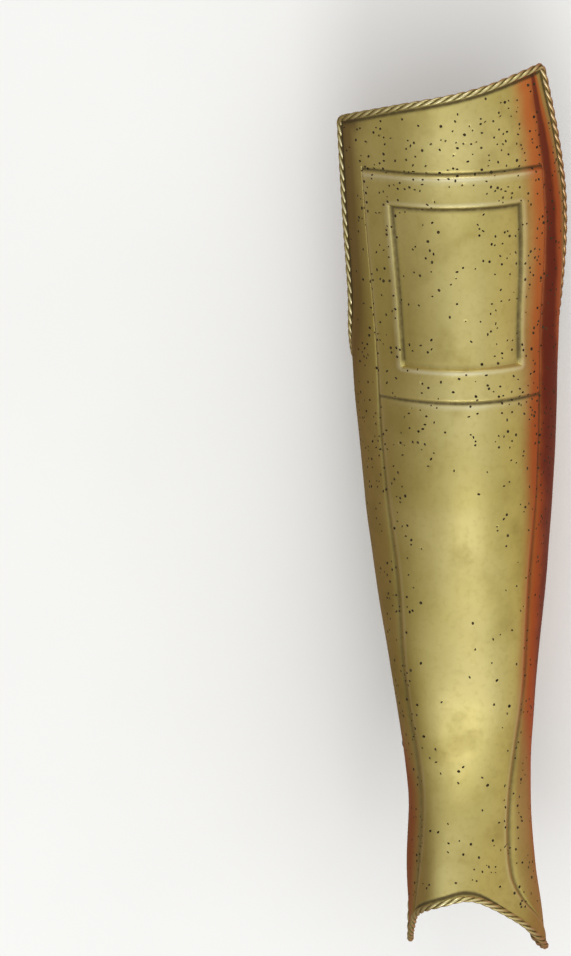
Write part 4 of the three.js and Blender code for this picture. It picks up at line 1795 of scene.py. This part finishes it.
@dataclass(frozen=True)
class SoftLamp:
    """Large soft light."""

    name: str
    place: tuple
    size: tuple
    power: float

    def build(self) -> None:
        """Makes the lamp, aimed at the middle of the floor."""
        data = bpy.data.lights.new(self.name, "AREA")
        data.shape = "RECTANGLE"
        data.size, data.size_y = self.size
        data.energy = self.power
        lamp = linked(self.name, data)
        spot = Vector(self.place)
        facing = spot.to_track_quat("Z", "Y").to_matrix().to_4x4()
        lamp.matrix_world = Matrix.Translation(spot) @ facing
        lamp.visible_camera = False


@dataclass(frozen=True)
class Studio:
    """Pale floor, soft lamps and the surroundings."""

    floor_finish: FloorFinish = FloorFinish()
    floor_size: float = 14
    lamps: tuple = (
        SoftLamp("overhead", (0.4, 0.7, 2.3), (2.4, 2.8), 3),
        SoftLamp("knee_end", (0.1, 2.6, 1.2), (1.4, 0.8), 10),
        SoftLamp("foot_end", (0.1, -1.6, 2.2), (1.6, 1.3), 16),
    )
    zenith: tuple = (0.50, 0.49, 0.47, 1)
    middle: tuple = (0.68, 0.61, 0.42, 1)
    horizon: tuple = (0.13, 0.09, 0.05, 1)
    backdrop: tuple = (0.86, 0.86, 0.85, 1)
    fill: tuple = (0.95, 0.95, 0.94, 1)

    def build(self) -> None:
        """Makes the floor, the lamps and the world."""
        half = self.floor_size / 2
        corners = [(-half, -half, 0), (half, -half, 0), (half, half, 0), (-half, half, 0)]
        floor = mesh_object("floor", np.array(corners), [(0, 1, 2, 3)], smooth=False)
        floor.data.materials.append(self.floor_finish.material())
        for lamp in self.lamps:
            lamp.build()
        self._surroundings()
        bpy.context.scene.view_settings.view_transform = "Standard"

    def _surroundings(self) -> None:
        """Sets the world: pale to the eye, a dim warm room to the polished metal."""
        world = bpy.data.worlds.new("studio")
        bpy.context.scene.world = world
        world.use_nodes = True
        world.node_tree.nodes.clear()
        build = Tree(world.node_tree)
        way = build.add("ShaderNodeTexCoord").outputs["Generated"]
        along = build.add("ShaderNodeSeparateXYZ", {0: way}).outputs
        up = along[2]
        foot_end = build.ranged(along[1], -0.9, -0.65, 0.7, 0.0)
        inner_side = build.ranged(along[0], -0.95, -0.35, 0.75, 0.0)
        room = build.mixed(build.ranged(up, 0.0, 0.25), self.horizon, self.middle)
        for share in (foot_end, inner_side):
            room = build.mixed(share, room, self.horizon)
        room = build.mixed(build.ranged(up, 0.3, 1.0), room, self.zenith)
        path = build.add("ShaderNodeLightPath")
        seen = build.mixed(path.outputs["Is Glossy Ray"], self.fill, room)
        seen = build.mixed(path.outputs["Is Camera Ray"], seen, self.backdrop)
        background = build.add("ShaderNodeBackground", {"Color": seen, "Strength": 1.0})
        build.add("ShaderNodeOutputWorld", {"Surface": background.outputs[0]})


# --- Main ----------------------------------------------------------------------------------


def corners(box: tuple) -> list[list[float]]:
    """Two corners of a box as plain lists."""
    return [[float(value) for value in corner] for corner in box]


def main() -> None:
    """Builds the camera, the laces, the plate, the border and the studio in that order."""
    logging.basicConfig(level=logging.INFO, format="%(name)s: %(message)s")
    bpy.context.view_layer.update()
    plate = GreavePlate(LegForm(), Emboss())
    place = Placing.on_node(plate, "greave_plate")
    Viewpoint().build(place)
    effects = ShaderEffects()
    leather = LeatherFinish().material(effects)
    for lace in (UPPER_LACE, LOWER_LACE):
        lace.build(leather)
    brass = BrassFinish().material("plate_brass", effects, 4.0)
    border_brass = BrassFinish(roughness=0.34).material("border_brass", effects, 17.0)
    dirt = PitFinish().material(effects)
    finish_piece(plate.build(place, brass, dirt), Slot.PLATE, "greave_plate")
    edges = [name for name in frame["nodes"] if name.startswith("rope_")]
    finish_piece(RopedBorder(plate).build(place, border_brass), Slot.BORDER, *edges)
    Studio().build()
    bpy.context.view_layer.update()


if __name__ == "__main__":
    main()
